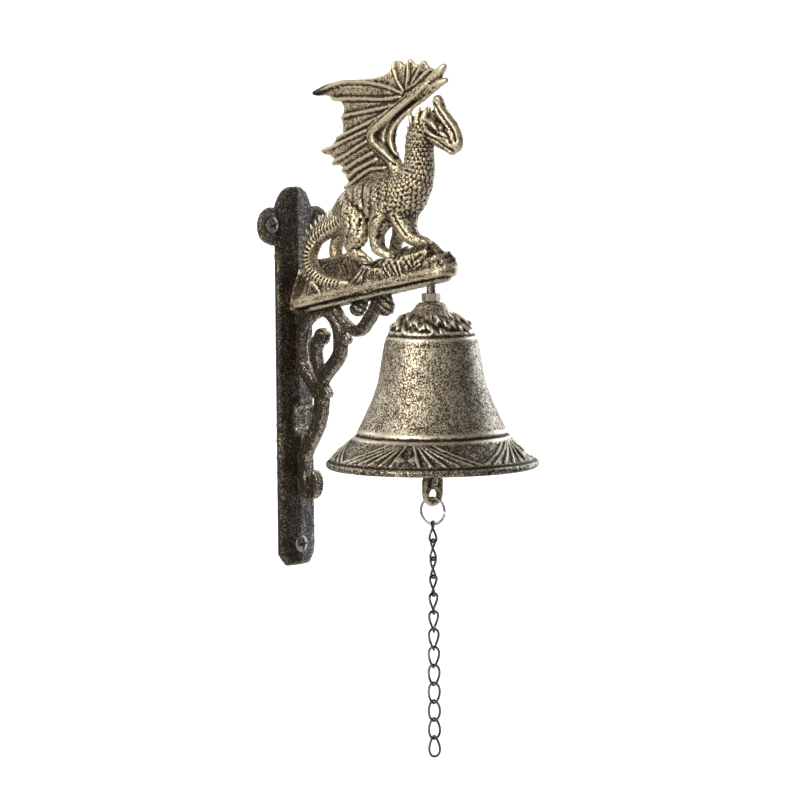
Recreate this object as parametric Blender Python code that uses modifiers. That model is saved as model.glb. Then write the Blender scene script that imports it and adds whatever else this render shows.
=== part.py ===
"""Wall mounted bell: cast bracket with a dragon figure, bell, clapper and pull chain.

The origin is the centre of the backplate's back face.  The wall is the plane Y = 0, the
bracket reaches out along -Y, X runs along the wall and Z points up.  Lengths are metres.
Side-on shapes are lists of (out, up) pairs in millimetres, where out is the distance
from the wall.
"""
import math

import bmesh
import bpy
from mathutils import Matrix, Vector

MM = 0.001
GAP = 0.3 * MM                      # clearance between touching pieces

# Backplate
PLATE_TOP = 0.1155
PLATE_BOTTOM = -0.1155
PLATE_HALF_WIDTH = 0.0155
PLATE_EDGE = 0.0034                 # thickness at the long edges
PLATE_RIDGE = 0.0062                # thickness at the central ridge
PLATE_FOOT_HALF = 0.009             # half width of the bottom end
PLATE_CHAMFER = 0.007
BEHIND = 0.001                      # stock behind the wall plane, trimmed off at the end
EAR_THICKNESS = 0.0034
EAR_RADIUS = 0.0110
EAR_X = 0.0205
EAR_Z = 0.0928
FOOT_SCREW_Z = -0.1025

# Wall screws
SCREW_HEAD_RADIUS = 0.0052
SCREW_SHANK_RADIUS = 0.0022

# Shelf slab: its top rises from the wall to the tip
SLAB_TOP_AT_WALL = 0.0446
SLAB_RISE = 0.2
SLAB_THICKNESS = 0.0053
SLAB_ROOT = 0.0067
SLAB_SHOULDER = 0.017
SLAB_HALF_ROOT = 0.009
SLAB_HALF_SHOULDER = 0.015
SLAB_HALF_TIP = 0.0095
SLAB_TIP_CENTRE = 0.1185
CASTING_HALF = 0.011                # half thickness of the rock under the figure

# Scrolls
SCROLL_FLATNESS = 0.72              # width across the bracket over width in its plane

# Bell, on a vertical axis in front of the wall
BELL_Y = -0.110
BELL_CROWN_Z = 0.0484
BELL_RIM_Z = -0.0484
BELL_HOLE_RADIUS = 0.0033
BELL_WALL = 0.0042
BELL_CROWN_INSIDE_Z = 0.0384
NUT_TURN = math.radians(20)

# Rod, nuts and washer
ROD_RADIUS = 0.0029
ROD_TOP_Z = 0.066
ROD_END_Z = 0.0265
NUT_FLAT_RADIUS = 0.005
NUT_HEIGHT = 0.005
WASHER_RADIUS = 0.008
WASHER_HEIGHT = 0.0015

# Clapper and its link
EYE_RADIUS = 0.0042
EYE_WIRE = 0.0015
EYE_Z = 0.0225
LINK_WIRE = 0.0012
LINK_HALF_WIDTH = 0.0042
LINK_HEIGHT = 0.014
BALL_RADIUS = 0.0115
BALL_Z = -0.033
LUG_RADIUS = 0.0051
LUG_WIRE = 0.0022
LUG_Z = -0.0656

# Pull ring and chain
LOWER_TURN = math.radians(12)       # turn of ring and chain about the bell's axis
LUG_TURN = math.radians(77)         # turn of the clapper's lug, across the ring
RING_RADIUS = 0.008
RING_WIRE = 0.0008
CHAIN_LINKS = 13
CHAIN_PITCH = 0.0107
CHAIN_WIRE = 0.00075
CHAIN_HALF_WIDTH = 0.0033
CHAIN_TURN_PER_LINK = math.radians(-11)


# ---------------------------------------------------------------- scene helpers
def clear_scene():
    for obj in list(bpy.data.objects):
        bpy.data.objects.remove(obj, do_unlink=True)


def new_collection(name):
    collection = bpy.data.collections.new(name)
    bpy.context.scene.collection.children.link(collection)
    return collection


def new_material(name, colour, roughness, metallic):
    material = bpy.data.materials.new(name)
    material.use_nodes = True
    shader = material.node_tree.nodes["Principled BSDF"]
    shader.inputs["Base Color"].default_value = (*colour, 1.0)
    shader.inputs["Roughness"].default_value = roughness
    shader.inputs["Metallic"].default_value = metallic
    return material


def add_part(name, mesh, material, location=(0, 0, 0)):
    """Put a mesh in the bell's collection as one named sub-part."""
    mesh.name = name
    mesh.materials.clear()
    mesh.materials.append(material)
    mesh.shade_smooth()
    mesh.set_sharp_from_angle(angle=math.radians(35))
    obj = bpy.data.objects.new(name, mesh)
    obj.location = location
    parts.objects.link(obj)
    return obj


def add_cutter(name, mesh):
    """Put a mesh in the cutters' collection as a hidden guide for a Boolean."""
    obj = bpy.data.objects.new(name, mesh)
    obj.hide_render = True
    obj.display_type = "WIRE"
    cutters.objects.link(obj)
    return obj


def boolean(obj, other, operation):
    modifier = obj.modifiers.new(operation.title() + " " + other.name, "BOOLEAN")
    modifier.operation = operation
    modifier.solver = "EXACT"
    modifier.object = other


def evaluated_mesh(obj):
    """The object's mesh with its modifiers applied, as a new mesh."""
    bpy.context.view_layer.update()
    graph = bpy.context.evaluated_depsgraph_get()
    return bpy.data.meshes.new_from_object(obj.evaluated_get(graph))


def merged(name, meshes, operation="UNION"):
    """One mesh from several closed meshes, joined or intersected in turn."""
    base = add_cutter(name + " base", meshes[0])
    for number, mesh in enumerate(meshes[1:]):
        boolean(base, add_cutter("%s add %d" % (name, number), mesh), operation)
    mesh = evaluated_mesh(base)
    for number in range(len(meshes) - 1):
        bpy.data.objects.remove(cutters.objects["%s add %d" % (name, number)])
    bpy.data.objects.remove(base)
    return mesh


# ---------------------------------------------------------------- shape helpers
def finish_bmesh(name, bm):
    bmesh.ops.remove_doubles(bm, verts=bm.verts, dist=1e-6)
    bmesh.ops.recalc_face_normals(bm, faces=bm.faces)
    mesh = bpy.data.meshes.new(name)
    bm.to_mesh(mesh)
    bm.free()
    return mesh


def smooth_path(points, steps):
    """Catmull-Rom points through the given tuples; each may carry a radius as well."""
    ends = [points[0]] + list(points) + [points[-1]]
    path = []
    for i in range(1, len(ends) - 2):
        p0, p1, p2, p3 = (Vector(ends[i + k]) for k in (-1, 0, 1, 2))
        for step in range(steps):
            t = step / steps
            path.append(0.5 * (2 * p1 + (p2 - p0) * t + (2 * p0 - 5 * p1 + 4 * p2 - p3) * t * t
                               + (3 * p1 - p0 - 3 * p2 + p3) * t ** 3))
    return path + [Vector(points[-1])]


def tube(name, path, sides=8, cyclic=False):
    """A round bar along (x, y, z, radius) points in metres, as a closed mesh."""
    curve = bpy.data.curves.new(name, "CURVE")
    curve.dimensions = "3D"
    curve.bevel_depth = 1.0
    curve.bevel_resolution = (sides - 4) // 2
    curve.use_fill_caps = not cyclic
    spline = curve.splines.new("POLY")
    spline.points.add(len(path) - 1)
    spline.use_cyclic_u = cyclic
    for point, (x, y, z, radius) in zip(spline.points, path):
        point.co = (x, y, z, 1.0)
        point.radius = radius
    obj = add_cutter(name, curve)
    mesh = evaluated_mesh(obj)
    bpy.data.objects.remove(obj)
    bm = bmesh.new()
    bm.from_mesh(mesh)
    return finish_bmesh(name, bm)


def side_tube(name, points, x=0.0, grow=0.0, steps=3, sides=8):
    """A bar along (out, up, radius) points in millimetres, in the plane at x."""
    path = smooth_path([(out, up, radius) for out, up, radius in points], steps)
    line = [(x, -out * MM, up * MM, radius * MM + grow) for out, up, radius in path]
    return tube(name, line, sides)


def flat_bar(name, points, grow=0.0, steps=3):
    """A scroll bar: a tapered bar, made thinner across the bracket."""
    mesh = side_tube(name, points, 0.0, grow, steps)
    mesh.transform(Matrix.Diagonal((SCROLL_FLATNESS, 1, 1, 1)))
    return mesh


def ball(name, out, up, radius, grow=0.0, x=0.0, squash=1.0):
    bm = bmesh.new()
    bmesh.ops.create_uvsphere(bm, u_segments=10, v_segments=6, radius=radius * MM + grow)
    mesh = finish_bmesh(name, bm)
    place = Matrix.Translation((x, -out * MM, up * MM))
    mesh.transform(place @ Matrix.Diagonal((squash, 1, 1, 1)))
    return mesh


def extruded(name, outline, half, matrix):
    """A flat outline of (u, v) pairs in metres, given its thickness and place."""
    bm = bmesh.new()
    verts = [bm.verts.new((u, v, -half)) for u, v in outline]
    face = bm.faces.new(verts)
    top = bmesh.ops.extrude_face_region(bm, geom=[face])
    moved = [item for item in top["geom"] if isinstance(item, bmesh.types.BMVert)]
    bmesh.ops.translate(bm, verts=moved, vec=(0, 0, 2 * half))
    bmesh.ops.transform(bm, matrix=matrix, verts=bm.verts)
    return finish_bmesh(name, bm)


def side_on(x=0.0):
    """Takes u to out (-Y), v to up (Z), and stands the plate across X at x."""
    return Matrix(((0, 0, -1, x), (-1, 0, 0, 0), (0, 1, 0, 0), (0, 0, 0, 1)))


def face_on(y):
    """Takes u to X, v to Z, and the thickness to -Y, centred at y."""
    return Matrix(((1, 0, 0, 0), (0, 0, -1, y), (0, 1, 0, 0), (0, 0, 0, 1)))


def cylinder(name, radius, low, high, segments=20, y=0.0):
    bm = bmesh.new()
    bmesh.ops.create_cone(bm, cap_ends=True, segments=segments, radius1=radius,
                          radius2=radius, depth=high - low)
    mesh = finish_bmesh(name, bm)
    mesh.transform(Matrix.Translation((0, y, (low + high) / 2)))
    return mesh


def turned(name, profile, steps):
    """A solid of revolution about Z from (radius, z) pairs, run down its outer side."""
    bm = bmesh.new()
    verts = [bm.verts.new((radius, 0, z)) for radius, z in profile]
    for start, end in zip(verts, verts[1:]):
        bm.edges.new((start, end))
    if profile[0][0] > 0:
        bm.edges.new((verts[-1], verts[0]))
    mesh = bpy.data.meshes.new(name)
    bm.to_mesh(mesh)
    bm.free()
    obj = add_cutter(name, mesh)
    screw = obj.modifiers.new("Turn", "SCREW")
    screw.axis = "Z"
    screw.angle = math.tau
    screw.steps = steps
    screw.render_steps = steps
    screw.use_merge_vertices = True
    screw.merge_threshold = 1e-6
    result = evaluated_mesh(obj)
    bpy.data.objects.remove(obj)
    bm = bmesh.new()
    bm.from_mesh(result)
    return finish_bmesh(name, bm)


def wire_ring(name, radius, wire, centre, turn, segments=24, sides=6):
    """A ring in a vertical plane whose level direction is -Y turned by turn about Z."""
    path = []
    for i in range(segments):
        angle = math.tau * (i + 0.5) / segments
        level = radius * math.cos(angle)
        path.append((centre[0] + level * math.sin(turn), centre[1] - level * math.cos(turn),
                     centre[2] + radius * math.sin(angle), wire))
    return tube(name, path, sides, cyclic=True)


# ---------------------------------------------------------------- bracket casting
def arc(cx, cy, radius, start, end, count):
    angles = [math.radians(start + (end - start) * i / (count - 1)) for i in range(count)]
    return [(cx + radius * math.cos(a), cy + radius * math.sin(a)) for a in angles]


def plate_bar(grow):
    """The ridged bar: a five-sided section cut to a round top and a chamfered foot."""
    width = PLATE_HALF_WIDTH + grow
    spare = 0.3 * PLATE_HALF_WIDTH
    wing = PLATE_HALF_WIDTH + spare
    edge = PLATE_EDGE - 0.3 * (PLATE_RIDGE - PLATE_EDGE) + grow
    section = [(-wing, -BEHIND), (wing, -BEHIND), (wing, edge), (0, PLATE_RIDGE + grow), (-wing, edge)]
    stand = Matrix(((1, 0, 0, 0), (0, -1, 0, 0), (0, 0, 1, 0), (0, 0, 0, 1)))
    prism = extruded("ridged bar", section, PLATE_TOP + spare, stand)
    outline = arc(0, PLATE_TOP - PLATE_HALF_WIDTH, width, 0, 180, 17)
    outline += [(-width, PLATE_BOTTOM + PLATE_CHAMFER), (-PLATE_FOOT_HALF, PLATE_BOTTOM - grow),
                (PLATE_FOOT_HALF, PLATE_BOTTOM - grow), (width, PLATE_BOTTOM + PLATE_CHAMFER)]
    outline_block = extruded("bar outline", outline, 0.02, face_on(0))
    return merged("bar", [prism, outline_block], "INTERSECT")


def screw_places():
    return {"wall_screw_left": (-EAR_X, EAR_Z, EAR_THICKNESS),
            "wall_screw_right": (EAR_X, EAR_Z, EAR_THICKNESS),
            "wall_screw_bottom": (0.0, FOOT_SCREW_Z, PLATE_RIDGE - 0.0004)}


def build_backplate():
    ears = [(x, z) for x, z in arc(EAR_X, EAR_Z, EAR_RADIUS, -90, 90, 11)]
    ears += [(x, z) for x, z in arc(-EAR_X, EAR_Z, EAR_RADIUS, 90, 270, 11)]
    middle = (BEHIND - EAR_THICKNESS) / 2
    ear_slab = extruded("ears", ears, (BEHIND + EAR_THICKNESS) / 2, face_on(middle))
    obj = add_part("backplate", merged("plate", [plate_bar(0), ear_slab]), iron_dark)
    corners = [(-0.1, -0.2), (0.1, -0.2), (0.1, 0.2), (-0.1, 0.2)]
    boolean(obj, add_cutter("wall", extruded("wall", corners, 0.005, face_on(0.005))), "DIFFERENCE")
    head = SCREW_HEAD_RADIUS + 2 * GAP
    shank = SCREW_SHANK_RADIUS + GAP
    profile = [(0, 0.01), (head, 0.01), (head, 0.0003), (shank, -0.0024), (shank, -0.02), (0, -0.02)]
    for name, (x, z, surface) in screw_places().items():
        hole = turned(name + " hole", profile, 16)
        hole.transform(Matrix.Translation((x, -surface, z)) @ Matrix.Rotation(math.radians(90), 4, "X"))
        boolean(obj, add_cutter(name + " hole", hole), "DIFFERENCE")


def build_wall_screws():
    """Oval-head screws, each down to where its shank enters the wall."""
    for name, (x, z, surface) in screw_places().items():
        head = [(0, 0.0024), (0.0022, 0.0021), (0.0040, 0.0011), (SCREW_HEAD_RADIUS, 0)]
        shank = [(SCREW_SHANK_RADIUS, -0.0026), (SCREW_SHANK_RADIUS, GAP - surface), (0, GAP - surface)]
        mesh = turned(name, head + shank, 14)
        mesh.transform(Matrix.Rotation(math.radians(90), 4, "X"))
        slot = [extruded("slot", [(-0.0027, -0.0005), (0.0027, -0.0005), (0.0027, 0.0005),
                                  (-0.0027, 0.0005)], 0.001, face_on(-0.0021)) for _ in range(2)]
        slot[1].transform(Matrix.Rotation(math.radians(90), 4, "Y"))
        obj = add_part(name, mesh, steel, (x, -surface, z))
        cross = merged(name + " cross", slot)
        cross.transform(Matrix.Translation((x, -surface, z)) @ Matrix.Rotation(0.5, 4, "Y"))
        boolean(obj, add_cutter(name + " cross", cross), "DIFFERENCE")


def slab_top(out):
    return SLAB_TOP_AT_WALL + SLAB_RISE * out


def slab_outline(grow, half_scale=1.0):
    """Plan of the slab as (x, out) pairs: flares from the root, then narrows to a round tip."""
    tip = SLAB_HALF_TIP * half_scale + grow
    shoulder = SLAB_HALF_SHOULDER * half_scale + grow
    root = SLAB_HALF_ROOT * half_scale + grow
    outline = [(-root, SLAB_ROOT - grow), (-shoulder * 0.95, SLAB_SHOULDER - 0.003),
               (-shoulder, SLAB_SHOULDER + 0.003)]
    outline += [(x, out) for x, out in arc(0, SLAB_TIP_CENTRE, tip, 180, 0, 11)]
    outline += [(shoulder, SLAB_SHOULDER + 0.003), (shoulder * 0.95, SLAB_SHOULDER - 0.003),
                (root, SLAB_ROOT - grow)]
    return outline


def sloping(low, high):
    """Takes an outline of (x, out) to the band between two heights, following the slope."""
    middle = (low + high) / 2
    return Matrix(((1, 0, 0, 0), (0, -1, 0, 0), (0, SLAB_RISE, 1, middle), (0, 0, 0, 1)))


def slab_mesh(grow):
    low = SLAB_TOP_AT_WALL - SLAB_THICKNESS - grow
    high = SLAB_TOP_AT_WALL + grow
    outline = slab_outline(grow)
    return extruded("slab", outline, (high - low) / 2, sloping(low, high))


def build_shelf_arm():
    obj = add_part("shelf_arm", slab_mesh(0), iron_gold)
    hole = cylinder("rod hole", ROD_RADIUS + GAP, 0.05, 0.08, 16, BELL_Y)
    boolean(obj, add_cutter("rod hole", hole), "DIFFERENCE")


ROCK_PROFILE = [(7.1, 44), (7.1, 65), (14, 66.5), (21, 72), (35, 74), (46, 76.4), (52, 74), (59, 70.6),
                (71, 73.6), (79, 73.8), (90, 78.6), (99, 81.8), (111, 84.4), (119, 79.4), (125, 72.8),
                (128.5, 60)]


def rock_mesh(grow, name="rock"):
    """Side outline of the mound, cut to the slab's plan and to the slab's sloping top."""
    outline = [(out * MM, up * MM + grow) for out, up in ROCK_PROFILE]
    side = extruded(name + " side", outline, CASTING_HALF + grow, side_on())
    low = SLAB_TOP_AT_WALL + GAP - grow
    plan = extruded(name + " plan", slab_outline(grow - 0.0004), 0.03, sloping(low, low + 0.06))
    return merged(name, [side, plan], "INTERSECT")


def build_rock_base():
    add_part("rock_base", rock_mesh(0), iron_gold)


# ---------------------------------------------------------------- scrolls
UPPER_SCROLL = [(8, 21, 2.8), (9, 28, 3.2), (14, 35, 3.2), (20.5, 38.7, 2.9), (27, 39.6, 2.7),
                (33, 37, 3.0), (37.3, 31, 3.4), (39, 23, 3.9), (38.6, 15.5, 4.1),
                (34.5, 9.3, 3.9), (29, 4.5, 3.8), (24, -1, 4.0), (22.8, -6, 4.2)]
LEFT_BAND = [(8, 22, 2.8), (8.2, 12, 3.3), (10.8, 4.5, 3.6), (15.5, -1.5, 3.8), (20, -7, 3.8)]
INNER_CURL = [(25, 0, 3.2), (20.8, 8, 3.7), (19.3, 16, 3.8), (21.5, 23.5, 4.0)]
STEM = [(23.2, -7, 4.3), (23.6, -14, 4.5), (22.2, -25, 4.2), (17.5, -34.5, 4.3), (11.8, -44, 4.1),
        (8.6, -53, 4.0), (8.6, -62, 4.2), (11.4, -69, 4.6), (16.2, -68.6, 4.8), (18, -63, 4.0),
        (18.2, -59, 2.4)]
PLATE_LOOP = [(21.5, -24, 1.4), (18, -19.6, 1.4), (12.5, -18.6, 1.4), (7.2, -20.8, 1.4), (5.4, -26, 1.4),
              (7.2, -31.2, 1.4), (12, -33.6, 1.4), (16.5, -32.6, 1.4)]
LOOP_WIDENING = 3.4                 # the loop is a short tube: its bar is this much wider across X
FRONT_SCROLL = [(34, 43.5, 2.8), (39, 37.5, 2.8), (45, 32.3, 2.9), (51, 29.2, 3.1), (56.5, 30.6, 3.4),
                (61.5, 36, 3.5), (66, 42, 3.4), (69, 48, 3.2)]


def upper_scroll(grow, name):
    ring = [flat_bar(name + " ring", UPPER_SCROLL, grow),
            flat_bar(name + " band", LEFT_BAND, grow), flat_bar(name + " curl", INNER_CURL, grow),
            ball(name + " ball", 24.8, 25, 5.2, grow, squash=SCROLL_FLATNESS),
            ball(name + " bud", 44, 23.8, 3.2, grow, squash=SCROLL_FLATNESS)]
    return merged(name, ring)


def build_scrolls():
    plate_space = add_cutter("plate space", plate_bar(GAP))
    slab_space = add_cutter("slab space", slab_mesh(GAP))
    upper_space = add_cutter("upper scroll space", upper_scroll(GAP, "upper space"))
    upper = add_part("scroll_upper", upper_scroll(0, "upper"), iron_dark)
    loop = side_tube("stem loop", PLATE_LOOP)
    loop.transform(Matrix.Diagonal((LOOP_WIDENING, 1, 1, 1)))
    stem = add_part("scroll_stem", merged("stem", [
        flat_bar("stem bar", STEM), loop, ball("stem bud", 28.5, -9, 3.0, squash=SCROLL_FLATNESS)]),
        iron_dark)
    front = add_part("scroll_front", merged("front", [
        flat_bar("front bar", FRONT_SCROLL), ball("inner leaf", 53.5, 43.3, 5.4, squash=SCROLL_FLATNESS),
        flat_bar("inner stalk", [(54, 44, 3.2), (60, 47.5, 2.8), (68, 46, 3.0)]),
        ball("outer leaf", 75.5, 45.3, 6.0, squash=SCROLL_FLATNESS),
        flat_bar("outer stalk", [(75.5, 46, 3.2), (71, 48, 3.0), (67, 45, 3.0)])]), iron_dark)
    for obj in (upper, stem, front):
        boolean(obj, plate_space, "DIFFERENCE")
        boolean(obj, slab_space, "DIFFERENCE")
    for obj in (stem, front):
        boolean(obj, upper_space, "DIFFERENCE")


# ---------------------------------------------------------------- dragon figure
TORSO = [(42, 100, 7.0), (49, 103, 10.5), (62, 106.5, 12.4), (78, 107.5, 13.8), (90, 110.5, 13.8),
         (98.5, 120, 11.2), (101.4, 132, 9.8), (102.4, 145, 9.2), (108, 152, 8.4), (117, 149, 8.0),
         (126, 143, 6.2), (129.6, 140.8, 5.0)]
HORN = [(122, 153, 4.6), (118, 161.5, 3.8), (116.6, 166.2, 3.4)]
EAR = [(103, 152, 3.6), (104.6, 158, 2.6), (105.8, 161.5, 1.2)]
LEGS = {
    "near hind": (-4.5, [(54, 102, 9.0), (57.4, 94, 9.2), (58.6, 87, 7.4), (55.8, 81, 4.8), (59, 76.6, 3.8),
                         (66, 73.4, 2.4)]),
    "far hind": (4.5, [(43, 99, 7.4), (38, 91, 6.0), (32.6, 83, 4.2), (31, 75, 4.0), (35, 70, 3.0)]),
    "near fore": (-4.5, [(79, 101, 8.0), (76, 92, 6.0), (75.2, 85, 4.8), (76.2, 79.6, 4.2), (83, 76.4, 2.8)]),
    "far fore": (4.5, [(85, 100, 8.0), (82, 92, 5.4), (80, 85, 4.2), (77.5, 76, 3.8)]),
    "front": (-1.5, [(87, 103, 10.0), (92, 95, 7.4), (96, 89, 5.6), (100, 85.6, 4.4), (106, 84.4, 3.0)]),
}
TAIL = [(37, 94, 6.2), (28, 89, 5.9), (21, 84, 5.6), (18.6, 77, 5.4), (21, 70, 5.3), (29, 63.4, 5.0),
        (39, 59.6, 4.1), (47, 58.6, 2.9), (54, 58.8, 1.6)]
WING_OUTLINE = [(50, 114), (46, 116), (48, 121), (43, 123), (42, 127), (36, 129), (33, 135),
                (27, 138), (37, 143), (38, 146), (43, 150), (42, 155), (45, 160), (44, 165),
                (38, 167), (34, 170), (21, 172), (30, 176), (40, 178), (61, 179), (72, 180),
                (81, 185), (85, 190), (91, 188), (97, 191), (103, 188), (108, 190), (114, 187),
                (121, 187.6), (120, 183), (123, 178.4), (118, 173), (106, 166.4), (92, 157.6),
                (86.4, 149), (85, 141), (87.4, 134.4), (94, 124), (78, 112)]
FIGURE_FLATNESS = 0.8
WING_HALF = 0.0032
TAIL_SWING = 0.0055                 # how far the tail curls to the near side
ARM_BONE = [(88, 126, 5.0), (76, 137.2, 4.5), (67, 146, 4.5), (74, 154, 4.4), (86, 161.6, 4.3),
            (98, 169, 4.0), (109, 176.4, 3.5), (119.6, 184.8, 2.6)]


def figure_mesh(grow, name):
    """Torso, neck and head as one bar, with the horn, the ear and the legs joined on."""
    torso = side_tube(name + " torso", TORSO, 0.0, grow, 2, 10)
    torso.transform(Matrix.Diagonal((FIGURE_FLATNESS, 1, 1, 1)))
    horn = side_tube(name + " horn", HORN, 0.0, grow, 1)
    ear = side_tube(name + " ear", EAR, 0.0, grow, 1)
    pieces = [torso, horn, ear]
    for leg, (x, points) in LEGS.items():
        pieces.append(side_tube(name + " " + leg, points, x * MM, grow, 2))
    return merged(name, pieces)


def build_dragon():
    rock_space = add_cutter("rock space", rock_mesh(GAP, "rock space"))
    figure_space = add_cutter("figure space", figure_mesh(GAP, "figure space"))
    body = add_part("dragon_body", figure_mesh(0, "figure"), iron_gold)
    boolean(body, rock_space, "DIFFERENCE")

    outline = [(out * MM, up * MM) for out, up in WING_OUTLINE]
    sheet = extruded("wing sheet", outline, WING_HALF, side_on())
    arm_bone = side_tube("arm", ARM_BONE, 0.0, 0.0, 2)
    wings = add_part("dragon_wings", merged("wings", [sheet, arm_bone]), iron_gold)
    boolean(wings, figure_space, "DIFFERENCE")

    path = smooth_path(TAIL, 4)
    line = [(-TAIL_SWING * min(1.0, i / 16), -out * MM, up * MM, radius * MM)
            for i, (out, up, radius) in enumerate(path)]
    tail = add_part("dragon_tail", tube("tail", line), iron_gold)
    for space in (figure_space, rock_space, cutters.objects["slab space"]):
        boolean(tail, space, "DIFFERENCE")


# ---------------------------------------------------------------- bell, rod and nuts
BELL_OUTER = [(8.4, 47.2), (10.4, 44.4), (12.6, 42.4), (18.6, 39.2), (23.2, 34.2), (26.3, 28.8),
              (28.0, 23.5), (30.2, 11.0), (32.3, 0.5), (35.5, -9.6), (39.6, -18.4), (43.0, -25.4),
              (45.2, -29.4), (52.6, -37.2), (63.2, -46.3)]


def bell_profile():
    """Outer side from crown to lip, then back up inside at the wall's thickness."""
    outer = [(BELL_HOLE_RADIUS, BELL_CROWN_Z), (7.2 * MM, BELL_CROWN_Z)]
    outer += [(radius * MM, z * MM) for radius, z in BELL_OUTER]
    lip = [(0.0628, BELL_RIM_Z), (0.0605, BELL_RIM_Z - 0.0009)]
    inner = []
    for radius, z in reversed(BELL_OUTER[5:14]):
        inner.append((radius * MM - BELL_WALL * 0.92, z * MM - BELL_WALL * 0.4))
    crown = [(0.0185, 0.0308), (0.0135, 0.0365), (0.009, BELL_CROWN_INSIDE_Z),
             (BELL_HOLE_RADIUS, BELL_CROWN_INSIDE_Z)]
    return outer + lip + inner + crown


def build_bell():
    add_part("bell", turned("bell", bell_profile(), 32), iron_gold, (0, BELL_Y, 0))


def nut_mesh(name, low):
    body = cylinder(name, NUT_FLAT_RADIUS / math.cos(math.radians(30)), low, low + NUT_HEIGHT, 6)
    body.transform(Matrix.Rotation(NUT_TURN, 4, "Z"))
    bore = cylinder(name + " bore", ROD_RADIUS + GAP, low - 0.001, low + NUT_HEIGHT + 0.001, 16)
    return merged(name, [body, bore], "DIFFERENCE")


def build_rod_and_nuts():
    shaft = cylinder("shaft", ROD_RADIUS, ROD_END_Z, ROD_TOP_Z, 16)
    eye = wire_ring("rod eye", EYE_RADIUS, EYE_WIRE, (0, 0, EYE_Z), math.radians(90), 16)
    add_part("hanger_rod", merged("rod", [shaft, eye]), steel, (0, BELL_Y, 0))
    top_nut_z = BELL_CROWN_Z + GAP
    add_part("top_nut", nut_mesh("top nut", top_nut_z), brass, (0, BELL_Y, 0))
    washer_z = BELL_CROWN_INSIDE_Z - GAP - WASHER_HEIGHT
    disc = cylinder("washer", WASHER_RADIUS, washer_z, washer_z + WASHER_HEIGHT, 20)
    bore = cylinder("washer bore", ROD_RADIUS + GAP, washer_z - 0.001, washer_z + 0.004, 16)
    add_part("inner_washer", merged("washer", [disc, bore], "DIFFERENCE"), steel, (0, BELL_Y, 0))
    add_part("inner_nut", nut_mesh("inner nut", washer_z - GAP - NUT_HEIGHT), steel,
             (0, BELL_Y, 0))


# ---------------------------------------------------------------- clapper, ring and chain
HANG_Z = EYE_Z - EYE_RADIUS                          # the rod eye's lowest wire
LINK_TOP_Z = HANG_Z + EYE_WIRE + LINK_WIRE + GAP
LINK_BOTTOM_Z = LINK_TOP_Z - LINK_HEIGHT
CLAPPER_EYE_Z = LINK_BOTTOM_Z + LINK_WIRE + EYE_WIRE + GAP - EYE_RADIUS
LUG_BOTTOM_Z = LUG_Z - LUG_RADIUS
RING_Z = LUG_BOTTOM_Z + LUG_WIRE + RING_WIRE + GAP - RING_RADIUS
RING_BOTTOM_Z = RING_Z - RING_RADIUS
FIRST_LINK_Z = RING_BOTTOM_Z + RING_WIRE + CHAIN_WIRE + GAP
CHAIN_LINK_HEIGHT = CHAIN_PITCH + 2 * CHAIN_WIRE + GAP


def oval(half_width, height, count, power):
    """Points of an upright oval with fuller sides than an ellipse, centred on zero."""
    points = []
    for i in range(count):
        angle = math.tau * i / count
        c, s = math.cos(angle), math.sin(angle)
        across = half_width * math.copysign(abs(c) ** (2 / power), c)
        up = height / 2 * math.copysign(abs(s) ** (2 / power), s)
        points.append((across, up))
    return points


def build_clapper():
    link = [(0, across, up + (LINK_TOP_Z + LINK_BOTTOM_Z) / 2 - HANG_Z, LINK_WIRE)
            for across, up in oval(LINK_HALF_WIDTH, LINK_HEIGHT, 20, 2.4)]
    add_part("clapper_link", tube("clapper link", link, 6, cyclic=True), steel,
             (0, BELL_Y, HANG_Z))
    eye_low = CLAPPER_EYE_Z - EYE_RADIUS
    profile = [(0, eye_low + 0.001), (0.0022, eye_low), (0.0024, BALL_Z + BALL_RADIUS)]
    profile += [(r, z) for r, z in arc(0, BALL_Z, BALL_RADIUS, 72, -66, 9)]
    profile += [(0.0036, BALL_Z - 0.014), (0.0034, LUG_Z + LUG_RADIUS), (0, LUG_Z + LUG_RADIUS - 0.001)]
    shank = turned("shank", profile, 16)
    eye = wire_ring("clapper eye", EYE_RADIUS, EYE_WIRE, (0, 0, CLAPPER_EYE_Z), math.radians(90), 16)
    lug = wire_ring("lug", LUG_RADIUS, LUG_WIRE, (0, 0, LUG_Z), LUG_TURN, 20, 8)
    half = [(0.0034, 0.0165), (0.0066, 0.0105), (0.0069, 0.0004), (0.0052, 0.0004), (0.0037, 0.0036),
            (0, 0.0051)]
    outline = half + [(-u, v) for u, v in reversed(half[:-1])]
    stand = Matrix.Rotation(LUG_TURN, 4, "Z") @ side_on() @ Matrix.Translation((0, LUG_Z, 0))
    tang = extruded("tang", outline, 0.002, stand)
    clapper = merged("clapper", [shank, eye, lug, tang])
    clapper.transform(Matrix.Translation((0, 0, -LINK_BOTTOM_Z)))
    add_part("clapper", clapper, iron_gold, (0, BELL_Y, LINK_BOTTOM_Z))


def build_pull_ring():
    ring = wire_ring("ring", RING_RADIUS, RING_WIRE, (0, 0, RING_Z - LUG_BOTTOM_Z), LOWER_TURN, 28)
    add_part("pull_ring", ring, wire_dark, (0, BELL_Y, LUG_BOTTOM_Z))


def twisted_link(turn, drop):
    """A link whose top bow runs across the turned level direction and its bottom bow along it."""
    path = []
    for across, up in oval(CHAIN_HALF_WIDTH, CHAIN_LINK_HEIGHT, 16, 2.5):
        share = 0.5 + up / CHAIN_LINK_HEIGHT
        angle = turn - math.radians(90) * share
        path.append((across * math.sin(angle), -across * math.cos(angle), up - drop, CHAIN_WIRE))
    return tube("chain link", path, 6, cyclic=True)


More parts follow.
